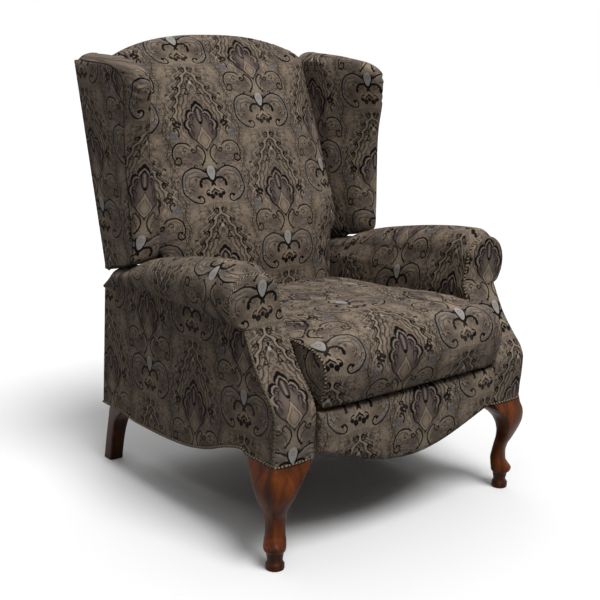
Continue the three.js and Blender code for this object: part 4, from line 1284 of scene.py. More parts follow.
@dataclass
class SeatCushion:
    """Seat cushion: top and front in one piece, boxed sides, corded along its side seams."""

    half_width: float = 263.0
    front: float = 26.0
    depth: float = 572.0
    bottom: float = 350.9
    height: float = 154.0
    nose: float = 18.0
    nose_lead: float = 1.2
    side_drop: float = 15.0
    crown_share: float = 0.6
    pull: float = 6.0
    round_radius: float = 16.0
    round_share: float = 0.5
    round_from: Sequence[float] = (0.02, 0.12)
    under: Sequence[float] = (0.01, 0.985)
    side_crown: float = 5.0
    rear_crown: float = 4.0
    band_steps: int = 9
    welt_radius: float = 2.6
    welt_start: int = 2
    welt_end: int = -6
    loose_side: Sequence[float] = (0.0, -0.707, 0.707)
    across: int = 71
    along: int = 120
    profile: Table = (
        (0, 0), (-0.012, 0.13), (-0.028, 0.28), (-0.036, 0.44), (-0.034, 0.62), (-0.018, 0.78),
        (0.012, 0.88), (0.06, 0.95), (0.13, 0.985), (0.22, 1), (0.34, 0.985), (0.48, 0.95),
        (0.64, 0.9), (0.8, 0.855), (0.93, 0.82), (0.985, 0.76), (1, 0.6), (1, 0.15))

    def grids(self) -> tuple[Array, Array]:
        """Top and underside, rows across the seat and columns from front hem to rear.

        The height falls by 15 mm * (0.6 |s|^2.5 + |s|^6) towards the sides, and the edge rounds off by
        a quarter circle.

        Returns:
            The two grids of points.
        """
        path = through(np.asarray(self.profile) * [self.depth, self.height], self.along)
        depth = (path[:, 0] / self.depth)[None, :]
        height = (path[:, 1] / self.height)[None, :]
        s = rounded(self.across)[:, None]
        edge, crown = np.abs(s) ** 6, np.abs(s) ** 2.5
        inside = np.clip(depth, 0, 1)
        y = -self.front + depth * self.depth + edge * self.nose * (0.5 - depth) * self.nose_lead
        drop = self.side_drop * (self.crown_share * crown + edge) * height
        x = s * self.half_width - np.sign(s) * self.pull * edge * np.sin(math.pi * inside)
        top = np.stack(np.broadcast_arrays(x, y, self.bottom + height * self.height - drop), -1)
        fall = edge_fall((1 - np.abs(s)) * self.half_width, self.round_radius, self.round_share)
        top = top + profile_inward(top) * (fall * smooth(*self.round_from, height))[..., None]
        under = mix(*self.under, inside)
        flat_y = -self.front + under * self.depth + edge * self.nose * (0.5 - under)
        flat_x = s * (self.half_width - edge * self.pull)
        bottom = np.stack(np.broadcast_arrays(flat_x, flat_y, np.full_like(flat_y, self.bottom)), -1)
        return top, bottom

    def build(self, dress: Dress) -> None:
        """Makes the cushion and its side cords."""
        top, bottom = self.grids()
        draft = MeshDraft("seat_cushion_cover")
        near = Patch(top, arc_cloth(top, cut("seat")))
        far = Patch(bottom, arc_cloth(bottom))
        out = self.side_crown
        crowns = ((-out, 0, 0), (out, 0, 0), (0, 0, 0), (0, self.rear_crown, 0))
        shell(draft, near, far, ShellLook(self.band_steps, crowns))
        cover = draft.finish([dress.cloth])
        Settling().run(cover, self.loose_side)
        dress.enter(cover, "seat", ["seat_cushion"])
        welts = MeshDraft("seat_cushion_welts")
        for row in (0, -1):
            add_tube(welts, top[row, self.welt_start:self.welt_end], self.welt_radius)
        dress.enter(welts.finish([dress.welt]), "seat")


@dataclass
class BackCushion:
    """Back cushion: a padded front that rolls over the crest and down behind the top rail."""

    bottom: float = 385.0
    waist: float = 264.0
    waist_taper: float = 12.0
    waist_top: float = 560.0
    waist_blend: float = 60.0
    panel_thickness: float = 10.0
    rail_thickness: float = 25.0
    crest_lip: float = 32.0
    crest_reach: float = 50.0
    crest_rows: int = 25
    crest_round: float = 3.0
    cap_rows: int = 12
    corner_pull: float = 6.0
    thickness: float = 104.0
    bulge: float = 40.0
    bulge_power: float = 2.4
    round_radius: float = 20.0
    round_share: float = 0.6
    round_share_on_top: float = 0.5
    side_crown: float = 5.0
    foot_crown: float = 4.0
    crest_crown: float = 1.0
    band_steps: int = 9
    loose_side: Sequence[float] = (0.0, -0.966, 0.259)
    across: int = 91
    up: int = 130
    thickness_curve: Table = (
        (0.34, 0.978), (0.41, 0.998), (0.526, 1.034), (0.597, 1.091), (0.675, 0.946),
        (0.758, 0.866), (0.841, 0.707), (0.918, 0.533), (0.96, 0.231), (1, 0.105))
    bulge_curve: Table = (
        (0.34, 0.75), (0.41, 0.95), (0.55, 1), (0.675, 0.95), (0.841, 0.83), (0.918, 0.65),
        (0.96, 0.42), (1, 0.1))

    def half(self, z: Array, waist: float) -> Array:
        """Half width at a height: the waist between the arms, then the full width."""
        return mix(waist, LINES.side_half_width, smooth(self.waist_top, self.waist_top + self.waist_blend, z))

    def grids(self) -> tuple[Array, Array]:
        """Front and rear, rows across and columns from the bottom over the crest.

        Below the crest the front lies the thickness before the rear line, less the crown's share of the
        bulge, 1 - |s|^2.4; the last 50 mm turn over the rail in a quarter circle.

        Returns:
            The two grids of points.
        """
        s = rounded(self.across)[:, None]
        size = np.abs(s)
        top = LINES.crest_height(s * LINES.side_half_width)
        round_off = size**8
        span = LINES.back_height - self.bottom
        low = np.linspace(0, 1, self.up - self.crest_rows + 1)[:-1] * (1 - self.crest_reach / span)
        over = np.sin(np.linspace(0, math.pi / 2, self.crest_rows))
        high = 1 - (1 - over) * self.crest_reach / span
        share = np.concatenate([low, high])[None, :]
        z = mix(self.bottom, top - TOUCH_GAP, share)
        face = np.minimum(z, top - self.crest_reach)
        place = face / LINES.back_height
        edge = LINES.back_rear(face) - self.thickness * follow(self.thickness_curve, place)
        crown = self.bulge * follow(self.bulge_curve, place) * (1 - size**self.bulge_power)
        plain = edge - crown + round_off * self.corner_pull
        ridge = LINES.back_rear(top) - self.panel_thickness - TOUCH_GAP - self.rail_thickness / 2
        turn = np.minimum(1, (z - face) / (self.crest_reach - TOUCH_GAP))
        y = mix(plain + (z - face) * LINES.slope, ridge, 1 - np.sqrt(1 - turn**2))
        x = s * self.half(z, self.waist)
        front = np.stack([x, y, z - round_off * self.crest_round], -1)
        fall = edge_fall((1 - size) * LINES.side_half_width, self.round_radius, self.round_share)
        front[..., 1] += fall * (1 - turn)
        front[..., 2] -= self.round_share_on_top * fall * turn
        lip = top - self.crest_lip
        rise = np.linspace(0, 1, self.up - self.cap_rows)[None, :]
        body = mix(self.bottom, lip - TOUCH_GAP, rise)
        body_y = LINES.back_rear(body) - self.panel_thickness - self.rail_thickness - 3 * TOUCH_GAP
        cap = mix(lip, top - self.crest_round * (1 + round_off), np.linspace(0, 1, self.cap_rows)[None, :])
        cap_y = LINES.back_rear(cap) - self.panel_thickness - TOUCH_GAP
        rear_z = np.concatenate([body, cap], 1)
        rear_x = s * self.half(rear_z, self.waist - self.waist_taper)
        rear = np.stack([rear_x, np.concatenate([body_y, cap_y], 1), rear_z], -1)
        return front, rear

    def build(self, dress: Dress) -> None:
        """Makes the cushion."""
        front, rear = self.grids()
        draft = MeshDraft("back_cushion_cover")
        near = Patch(front, arc_cloth(front, cut("back")))
        far = Patch(rear, arc_cloth(rear))
        out = self.side_crown
        crowns = ((-out, 0, 0), (out, 0, 0), (0, 0, -self.foot_crown), (0, 0, self.crest_crown))
        shell(draft, near, far, ShellLook(self.band_steps, crowns))
        cover = draft.finish([dress.cloth])
        Settling().run(cover, self.loose_side)
        dress.enter(cover, "back", ["back_cushion"])


@dataclass
class OutsideBack:
    """Outside back: a plain panel stretched over the frame, bent where the back leans."""

    waist: float = 264.0
    half_width: float = 379.7
    foot: float = 335.0
    wing_foot: float = 542.7
    wing_top: float = 1041.0
    thickness: float = 9.4
    crown: float = 2.5
    crest_gap: float = 6.3
    shoulder_gap: float = 0.5
    bevel: float = 2.5
    columns: Sequence[int] = (45, 4, 9)
    rows: Sequence[int] = (22, 50)

    def top(self, x: Array) -> Array:
        """Upper edge: under the crest in the middle, level behind the wings."""
        crest = LINES.crest_height(x) - self.crest_gap
        return np.where(np.abs(x) <= LINES.side_half_width, crest, self.wing_top)

    def build(self, dress: Dress) -> None:
        """Makes the panel from a lower and an upper grid, thickened towards the frame."""
        middle, beside, behind = self.columns
        inner = np.linspace(-self.waist, self.waist, middle)
        shoulder = np.linspace(self.waist, LINES.side_half_width, beside)[1:]
        outer = np.linspace(LINES.side_half_width + self.shoulder_gap, self.half_width, behind)
        x = np.concatenate([-outer[::-1], -shoulder[::-1], inner, shoulder, outer])[:, None]
        draft = MeshDraft("outside_back_panel")
        for across, low, high, count in (
            (inner[:, None], self.foot, self.wing_foot, self.rows[0]),
            (x, self.wing_foot, self.top(x), self.rows[1]),
        ):
            z = mix(low, high, np.linspace(0, 1, count)[None, :])
            span = 1 - (across / self.half_width) ** 2
            soft = span * np.sin(math.pi * np.clip((z - self.foot) / (LINES.back_height - self.foot), 0, 1))
            y = LINES.back_rear(z) - TOUCH_GAP + self.crown * (soft - 1)
            grid = np.stack(np.broadcast_arrays(across, y, z), -1)
            cloth = np.stack([-grid[..., 0], grid[..., 2] / math.cos(math.radians(LINES.back_lean))], -1)
            draft.add(Patch(grid, cloth))
        panel = draft.finish([dress.cloth])
        face_rearward(panel)
        wall = panel.modifiers.new("wall", "SOLIDIFY")
        wall.thickness = (self.thickness - self.crown) * MILLIMETRE
        wall.offset = -1
        bevel = panel.modifiers.new("edge", "BEVEL")
        bevel.width = self.bevel * MILLIMETRE
        bevel.segments = 2
        bevel.limit_method = "ANGLE"
        dress.enter(panel, "back", ["outside_back"])


def face_rearward(thing: bpy.types.Object) -> None:
    """Turns an open sheet so that its faces look to the rear."""
    work = bmesh.new()
    work.from_mesh(thing.data)
    if sum(face.normal.y for face in work.faces) < 0:
        bmesh.ops.reverse_faces(work, faces=work.faces)
    work.to_mesh(thing.data)
    work.free()


@dataclass
class Wing:
    """Wing: a plain outer panel, and a padded front that rolls round to the inner face."""

    half_width: float = 380.0
    root: float = 296.3
    depth: float = 290.0
    foot: float = 543.0
    top: float = 1057.0
    panel_thickness: float = 10.3
    inner_round: float = 2.0
    seam_depth: float = 4.5
    seam_width: float = 5.0
    welt_radius: float = 2.6
    grain_lean: float = 0.152
    grain_height: float = 752.0
    welt_end: float = 1042.0
    welt_shift: Sequence[float] = (2.0, -1.2, 0.0)
    welt_tuck: Sequence[float] = (-1.0, 6.0, 1.0)
    welt_points: int = 220
    seam_place: int = 2
    outer_places: int = 5
    inner_places: int = 6
    place_length: float = 40.0
    gathers: Table = ((990, 5, 6), (968, 12, 6.5), (950, 9, 6), (932, 5, 6))
    gather_slope: float = 0.35
    gather_start: float = 0.3
    gather_end: Sequence[float] = (4.2, 4.9)
    levels: int = 160
    round_about: int = 44
    table: Table = (
        (0, 0.031, 0.034, 0.86, 0), (0.0252, 0.112, 0.132, 0.85, 0), (0.0448, 0.323, 0.354, 0.845, 0),
        (0.0641, 0.429, 0.47, 0.84, 0), (0.0895, 0.485, 0.554, 0.82, 0), (0.2001, 0.526, 0.627, 0.802, 0),
        (0.3579, 0.561, 0.699, 0.818, 0), (0.5738, 0.622, 0.789, 0.858, 0),
        (0.7585, 0.714, 0.926, 0.87, 0), (0.8444, 0.756, 0.978, 0.868, 0),
        (0.8874, 0.768, 0.977, 0.866, 0), (0.9142, 0.725, 0.943, 0.862, 0),
        (0.9368, 0.661, 0.873, 0.855, 0), (0.9525, 0.53, 0.795, 0.849, 0.012),
        (0.9595, 0.34, 0.745, 0.845, 0.035), (0.966, 0.12, 0.69, 0.841, 0.06),
        (0.974, 0.025, 0.61, 0.836, 0.11), (0.983, 0.014, 0.506, 0.83, 0.18),
        (0.9937, 0.014, 0.295, 0.825, 0.3), (1, 0.014, 0.131, 0.82, 0.42))
    outer_way: Table = ((0, 0, 0, 0), (1, 0, 0.5, 0), (2, 0, 1, 0), (3, 0.07, 1, 0.45), (4, 0.22, 1, 0.86),
                        (5, 0.5, 1, 1))
    inner_way: Table = ((0, 2, 0, 0), (1, 2, 0.15, 0.15), (2, 1.55, 0.4, 0.4), (3, 1.25, 0.64, 0.64),
                        (4, 1, 0.87, 0.87), (5, 0.8, 0.97, 0.97), (6, 0.5, 1, 1))

    def grid(self, way: Table, last: float, seam_at: Optional[float] = None) -> Array:
        """One side of the wing, rows up its levels and columns from the rear to the nose.

        A column is a place on the way round: how far across, and which shares of the ways from rear to
        seam and from seam to front it has gone.

        Args:
            way: Table of the place, across, rear-to-seam share and seam-to-front share.
            last: Last place in it.
            seam_at: Place of the sunk seam, if it has one.

        Returns:
            Grid of points.
        """
        index = np.arange(len(self.table), dtype=float)
        rows = np.asarray(self.table)
        spread = follow(np.stack([np.linspace(0, 1, len(index)), index], 1), np.linspace(0, 1, self.levels))
        height, to_seam_share, to_front_share, inner_share, drawn = (
            follow(np.stack([index, rows[:, k]], 1), spread)[:, None] for k in range(5))
        z = mix(self.foot, self.top, height)
        rear = LINES.back_rear(z) - self.panel_thickness
        seam = -to_seam_share * self.depth
        front = -to_front_share * self.depth
        width = self.half_width - self.root
        outside = self.half_width - drawn * width
        root = self.root + drawn * width
        inside = np.maximum(inner_share * self.half_width, root + self.inner_round)
        place = np.linspace(0, last, self.round_about)
        across, to_seam, to_front = (follow(way, place, k)[None, :] for k in (1, 2, 3))
        x = np.where(across > 1, mix(inside, root, np.clip(2 * (across - 1), 0, 1)),
                     mix(outside, inside, across))
        y = rear + to_seam * seam + to_front * (front - seam)
        if seam_at is not None:
            away = np.abs(place - seam_at)[None, :] * self.place_length
            x = x - self.seam_depth * np.exp(-((away / self.seam_width) ** 2)) * (1 - drawn)
            share = smooth(seam_at, seam_at + self.gather_start, place)
            share = share * (1 - smooth(*self.gather_end, place))
            for middle, depth, wide in self.gathers:
                fold = z - self.gather_slope * (y - y[:, -1:]) - middle
                y = y + depth * share * np.exp(-((fold / wide) ** 2))
        return np.stack(np.broadcast_arrays(x, y, z), -1)

    def cloth(self, grid: Array, start: float) -> Array:
        """Cloth coordinates: distance round the wing across, height along the lean up."""
        way = run_length(grid, 1)
        up = (grid[..., 2] - self.foot) / math.cos(math.radians(LINES.back_lean))
        return np.stack([way + start, up], -1)

    def build(self, dress: Dress) -> None:
        """Makes both wings and the welts along their seams."""
        outer = self.grid(self.outer_way, self.outer_places, self.seam_place)
        inner = self.grid(self.inner_way, self.inner_places)
        seam = round((self.round_about - 1) * self.seam_place / self.outer_places)
        walked = run_length(outer, 1)
        up = (outer[..., 2] - self.foot) / math.cos(math.radians(LINES.back_lean))
        turned = run_length(inner, 1)
        inner_walk = walked[:, -1:] + turned[:, -1:] - turned
        inner_up = np.broadcast_to(up[:, -1:], inner.shape[:2])
        flat = self.round_about // self.outer_places
        shift = inner_walk[:, flat] - (inner[:, flat, 1] - inner[:, flat, 2] * self.grain_lean)
        shift = (shift - np.interp(self.grain_height, inner[:, flat, 2], shift))[:, None]
        for side in Side:
            front = cut("wing_front", side)
            draft = MeshDraft(f"wing_cover_{side.word}")
            cloth = np.stack([walked, up], -1)
            draft.add(Patch(outer[:, :seam + 1], cloth[:, :seam + 1] + cut("wing_outer")))
            cloth[..., 0] -= shift
            draft.add(Patch(outer[:, seam:], cloth[:, seam:] + front))
            near = Patch(outer, cloth + front)
            far = Patch(inner, np.stack([inner_walk - shift, inner_up], -1) + front)
            draft.add(far)
            close_edges(draft, near, far, ShellLook(7, ((0, 0, -1), (0, 0, 2), (0, 0, 0), (0, 0, 0))))
            thing = draft.finish([dress.cloth], side)
            dress.enter(thing, "back", [f"wing_{side.word}"])
            line = outer[outer[:, 0, 2] < self.welt_end, seam] + self.welt_shift
            line = np.concatenate([line, [line[-1] + self.welt_tuck]])
            welt = MeshDraft(f"wing_welt_{side.word}")
            add_tube(welt, through(line, self.welt_points), self.welt_radius)
            # The wing welts take the dark cord: painted shade of the sunk seam.
            dress.enter(welt.finish([dress.dark_welt], side), "back")


@dataclass
class Arm:
    """Arm: cover over panel and roll, facing with its welt, and the cord of its lower edge."""

    facing_thickness: float = 14.0
    facing_crown: float = 4.0
    welt_radius: float = 3.0
    welt_forward: float = 8.0
    inner_welt_share: float = 0.8
    inner_welt_shift: Sequence[float] = (0.0, 0.5, 1.6)
    hem_welt_lift: Sequence[float] = (0.0, 0.0, 1.5)
    crown_angle: float = 86.0
    crown_seam: float = 10.0
    front_share: float = 0.1
    rear_share: float = 0.7
    front_stations: int = 12
    middle_stations: int = 48
    rear_stations: int = 38
    panel_levels: int = 34
    roll_levels: int = 44
    facing_columns: int = 33
    facing_panel_levels: int = 60
    facing_roll_levels: int = 48
    facing_round: float = 6.0
    facing_round_share: float = 0.6

    def cover_grids(self) -> tuple[Array, Array]:
        """Outer and inner side of the cover, rows along its depth, columns from hem to crown."""
        share = np.concatenate([
            np.linspace(0, self.front_share, self.front_stations)[:-1],
            np.linspace(self.front_share, self.rear_share, self.middle_stations)[:-1],
            np.linspace(self.rear_share, 1, self.rear_stations)])[:, None]
        front = LINES.facing_depth(np.array(LINES.front_leg_height)) + self.facing_thickness + TOUCH_GAP
        hem = LINES.hem_height(mix(front, LINES.side_depth, share))
        panel = np.linspace(0, 1, self.panel_levels)[:-1]
        roll = np.linspace(-90, self.crown_angle, self.roll_levels)
        z, inner, outer = LINES.arm_section(share, hem, panel, roll)
        start = LINES.facing_depth(z) + self.facing_thickness + TOUCH_GAP
        y = mix(start, LINES.side_rear(z), share)
        return np.stack([outer, y, z], -1), np.stack([inner, y, z], -1)

    def cover_patches(self, side: Side) -> list[Patch]:
        """Outer panel, roll and inner panel, each with its own cut of cloth, then the two whole sides.

        Args:
            side: Side of the chair, for the start of the pattern.

        Returns:
            Outer panel, outer half of the roll, inner half of the roll with the inner panel, and the
            whole outer and inner side.
        """
        outer, inner = self.cover_grids()
        neck = self.panel_levels - 1
        walked = run_length(outer, 1)
        up = walked - walked[:, neck:neck + 1] + outer[:, neck:neck + 1, 2]
        down = run_length(inner[:, ::-1], 1)[:, ::-1]
        panel = np.stack([outer[..., 1], up], -1) + cut("panel")
        over = np.stack([outer[..., 1], -up], -1) + cut("roll", side)
        inward = np.stack([inner[..., 1], -(up[:, -1:] + self.crown_seam + down)], -1) + cut("roll", side)
        return [
            Patch(outer[:, :neck + 1], panel[:, :neck + 1]), Patch(outer[:, neck:], over[:, neck:]),
            Patch(inner, inward), Patch(outer, over), Patch(inner, inward),
        ]

    def facing_grids(self) -> tuple[Array, Array]:
        """Front and rear of the facing, rows across and columns from the leg to the crown."""
        s = (rounded(self.facing_columns) / 2 + 0.5)[:, None]
        panel = np.linspace(0, 1, self.facing_panel_levels)[:-1]
        roll = np.linspace(-90, self.crown_angle, self.facing_roll_levels)
        hem = np.full((1, 1), LINES.front_leg_height + TOUCH_GAP)
        z, inner, outer = LINES.arm_section(np.zeros((1, 1)), hem, panel, roll)
        x = mix(inner, outer, s)
        width = outer - inner
        edge = edge_fall((0.5 - np.abs(s - 0.5)) * width, self.facing_round, self.facing_round_share)
        y = LINES.facing_depth(z) - self.facing_crown * (1 - (2 * s - 1) ** 2) + edge
        rear = np.broadcast_to(LINES.facing_depth(z) + self.facing_thickness, x.shape)
        z = np.broadcast_to(z, x.shape)
        return np.stack([x, y, z], -1), np.stack([x, rear, z], -1)

    def build(self, dress: Dress) -> None:
        """Makes both arms."""
        front, rear = self.facing_grids()
        plain = np.stack([front[..., 0] - LINES.half_width, run_length(front, 1)], -1)
        for side in Side:
            word = side.word
            cover = MeshDraft(f"arm_cover_dressed_{word}")
            panel, roll, inside, outer, inner = self.cover_patches(side)
            cover.add(panel).add(roll).add(inside)
            close_edges(cover, outer, inner, ShellLook(9, ((0, 0, 0), (0, 2, 0), (0, 0, 0), (0, 0, 0.5))))
            dress.enter(cover.finish([dress.cloth], side), "base", [f"arm_cover_{word}"])
            facing = MeshDraft(f"arm_facing_dressed_{word}")
            cloth = plain + cut("facing", side)
            shell(facing, Patch(front, cloth), Patch(rear, cloth), ShellLook(5))
            dress.enter(facing.finish([dress.cloth], side), "base", [f"arm_facing_{word}"])
            welts = MeshDraft(f"arm_welts_{word}")
            add_tube(welts, self.facing_outline(rear) - [0, self.welt_forward, 0], self.welt_radius)
            foot = front[1:-1, 0] + self.inner_welt_shift
            add_tube(welts, foot, self.welt_radius * self.inner_welt_share)
            add_tube(welts, outer.points[:, 0] + self.hem_welt_lift, self.welt_radius)
            dress.enter(welts.finish([dress.welt], side), "base")

    def facing_outline(self, rear: Array) -> Array:
        """Edge of the facing from its inner foot over the roll to its outer foot."""
        return np.concatenate([rear[0], rear[-1, ::-1]])


@dataclass
class FootrestPad:
    """Padded front of the footrest, with a lower edge that dips in the middle."""

    half_width: float = 266.5
    top: float = 339.0
    corner_height: float = 89.0
    dip: float = 67.0
    thickness: float = 22.0
    crown: float = 7.0
    round_radius: float = 9.0
    round_share: float = 0.8
    round_height: float = 40.0
    dip_power: float = 1.2
    side_power: float = 10.0
    across: int = 71
    up: int = 25

    def foot(self, share: Array) -> Array:
        """Height of the lower edge: the corners less the dip times cos^1.2."""
        wave = np.maximum(np.cos(math.pi * share / 2), 0) ** self.dip_power
        return self.top - self.corner_height - self.dip * wave

    def build(self, dress: Dress) -> None:
        """Makes the pad."""
        s = rounded(self.across)[:, None]
        t = (rounded(self.up) / 2 + 0.5)[None, :]
        z = mix(self.foot(s), self.top, t)
        x = s * self.half_width * np.ones_like(t)
        bow = self.crown * (4 * t * (1 - t)) * (1 - np.abs(s) ** self.side_power)
        away = np.minimum((1 - np.abs(s)) * self.half_width, (1 - np.abs(2 * t - 1)) * self.round_height)
        y = -(self.thickness - self.crown + bow - edge_fall(away, self.round_radius, self.round_share))
        front = np.stack([x, y, z], -1)
        rear = np.stack([x, np.full_like(x, -TOUCH_GAP), z], -1)
        draft = MeshDraft("footrest_pad_cover")
        cloth = np.stack([x, z], -1) + cut("pad")
        shell(draft, Patch(front, cloth), Patch(rear, cloth), ShellLook(5))
        dress.enter(draft.finish([dress.cloth]), "footrest", ["footrest_pad"])


@dataclass
class PlainPad:
    """Flat covered panel with soft edges, given by its box."""

    name: str
    low: Sequence[float]
    high: Sequence[float]
    thin_axis: int
    soft: float = 3.0
    crown: float = 1.5

    def build(self, dress: Dress, material: bpy.types.Material, body: str, slot: str, node: str) -> None:
        """Makes the panel and puts it on its body.

        Args:
            dress: The finishes.
            material: Material of the panel.
            body: Body that it rides on.
            slot: Material slot of the record; not used.
            node: Node that it stands for.
        """
        low, high = np.asarray(self.low, float), np.asarray(self.high, float)
        flat = [axis for axis in range(3) if axis != self.thin_axis]
        s, t = np.meshgrid(rounded(41), rounded(31), indexing="ij")
        faces = []
        for end in (0, 1):
            grid = np.empty(s.shape + (3,))
            for axis, share in zip(flat, (s, t)):
                grid[..., axis] = mix(low[axis], high[axis], share / 2 + 0.5)
            across, along = (high - low)[flat]
            away = np.minimum((1 - np.abs(s)) * across, (1 - np.abs(t)) * along) / 2
            inward = edge_fall(away, self.soft, 1.0) + self.crown * (1 - (1 - s**2) * (1 - t**2))
            thin = self.thin_axis
            grid[..., thin] = low[thin] + inward if end == 0 else high[thin] - inward
            faces.append(Patch(grid, grid[..., flat]))
        draft = MeshDraft(self.name)
        shell(draft, faces[1], faces[0], ShellLook(3))
        dress.enter(draft.finish([material]), body, [node])


def enter_legs(dress: Dress, grid: Array, wood: bpy.types.Material, name: str, node: str) -> None:
    """Closes the rings of a leg at both ends and puts one on each side.

    Args:
        dress: The finishes.
        grid: Rings of points up the leg.
        wood: Its material.
        name: Name of the pieces, without their side.
        node: Name of the nodes that they stand for, without their side.
    """
    cloth = np.stack([run_length(grid, 1), grid[..., 2]], -1)
    for side in Side:
        draft = MeshDraft(f"{name}_{side.word}").add(Patch(grid, cloth))
        for ring in (grid[0, :-1], grid[-1, :-1]):
            draft.add(strip_cap(ring))
        dress.enter(draft.finish([wood], side), "base", [f"{node}_{side.word}"])


@dataclass
class FrontLeg:
    """Cabriole leg: a pad foot, a slim ankle and a knee whose corner leads."""

    height: float = 239.0
    block: float = 97.0
    foot_outward: float = 6.0
    foot_rearward: float = 5.0
    shift_share: float = 0.5
    foot_round: float = 3.0
    foot_share: float = 0.1
    sides: int = 64
    rings: int = 190
    table: Table = (
        (0, -0.2, -0.594, 0.42, 2), (0.05, -0.196, -0.588, 0.425, 2), (0.07, -0.226, -0.567, 0.372, 2),
        (0.085, -0.245, -0.555, 0.35, 2), (0.13, -0.225, -0.57, 0.375, 2), (0.168, -0.2, -0.59, 0.42, 2),
        (0.178, -0.15, -0.62, 0.47, 2), (0.215, -0.12, -0.634, 0.51, 1.95),
        (0.27, -0.206, -0.65, 0.495, 1.8), (0.318, -0.268, -0.66, 0.464, 1.65),
        (0.393, -0.278, -0.629, 0.454, 1.55), (0.473, -0.237, -0.588, 0.48, 1.5),
        (0.548, -0.134, -0.546, 0.536, 1.45), (0.619, -0.041, -0.531, 0.66, 1.4),
        (0.69, 0.041, -0.557, 0.825, 1.35), (0.77, 0.103, -0.639, 0.98, 1.3),
        (0.828, 0.113, -0.763, 1.093, 1.24), (0.887, 0.093, -0.98, 1.206, 1.18),
        (0.946, 0.031, -1.2, 1.32, 1.08), (1, 0, -1.31, 1.36, 1.02))

    def grid(self) -> Array:
        """Rings up the leg: superellipses |u|^p + |v|^p = 1 on the diagonal of the corner."""
        height = np.linspace(0, 1, self.rings)[:, None]
        ridge, heel, width, power = (follow(self.table, height, k) for k in (1, 2, 3, 4))
        middle = self.block * (ridge + heel) / 2
        reach = self.block * (ridge - heel) / 2
        spread = self.block * width / 2
        foot = np.clip(height * self.height / self.foot_round, 0, 1)
        soften = 1 - self.foot_share * (1 - np.sqrt(1 - (1 - foot) ** 2))
        turn = (np.arange(self.sides + 1) / self.sides * 2 * math.pi - math.pi / 2)[None, :]
        along, across = (squared(v, power) * soften for v in (np.cos(turn), np.sin(turn)))
        along, across = middle + reach * along, spread * across
        shift = np.minimum(1, (1 - height) / self.shift_share)
        x = LINES.half_width + (along + across) * math.sqrt(0.5) + shift * self.foot_outward
        y = (across - along) * math.sqrt(0.5) + shift * self.foot_rearward
        return np.stack(np.broadcast_arrays(x, y, height * self.height), -1)

    def build(self, dress: Dress) -> None:
        """Makes both front legs."""
        enter_legs(dress, self.grid(), dress.leg, "front_leg_carved", "front_leg")


@dataclass
class RearLeg:
    """Rear leg: square in section with eased edges, swept back to its foot."""

    height: float = 180.7
    inset: float = 50.0
    top_width: float = 60.0
    foot_width: float = 38.0
    top_depth: float = 73.0
    front_depth: float = 672.0
    splay: float = 75.0
    taper: float = 33.0
    squareness: float = 7.0
    sides: int = 48
    rings: int = 90
    table: Table = (
        (0, 1, 1, 0), (0.2, 0.926, 0.867, 0.03), (0.4, 0.833, 0.72, 0.1), (0.553, 0.74, 0.587, 0.2),
        (0.67, 0.64, 0.48, 0.32), (0.758, 0.49, 0.387, 0.5), (0.858, 0.26, 0.267, 0.75),
        (0.94, 0.074, 0.107, 0.93), (1, 0, 0, 1))

    def build(self, dress: Dress) -> None:
        """Makes both rear legs: rings |u|^7 + |v|^7 = 1, scaled to width and depth."""
        height = np.linspace(0, 1, self.rings)[:, None]
        sweep, back, grow = (follow(self.table, height, k) for k in (1, 2, 3))
        width = mix(self.foot_width, self.top_width, grow)
        front = self.front_depth + (self.splay + self.taper) * sweep
        depth = self.front_depth + self.top_depth + self.splay * back - front
        turn = (np.arange(self.sides + 1) / self.sides * 2 * math.pi)[None, :]
        x = LINES.half_width - self.inset + width / 2 * squared(np.cos(turn), self.squareness)
        y = front + depth * (1 + squared(np.sin(turn), self.squareness)) / 2
        grid = np.stack(np.broadcast_arrays(x, y, height * self.height), -1)
        enter_legs(dress, grid, dress.rear_leg, "rear_leg_shaped", "rear_leg")


# Studio


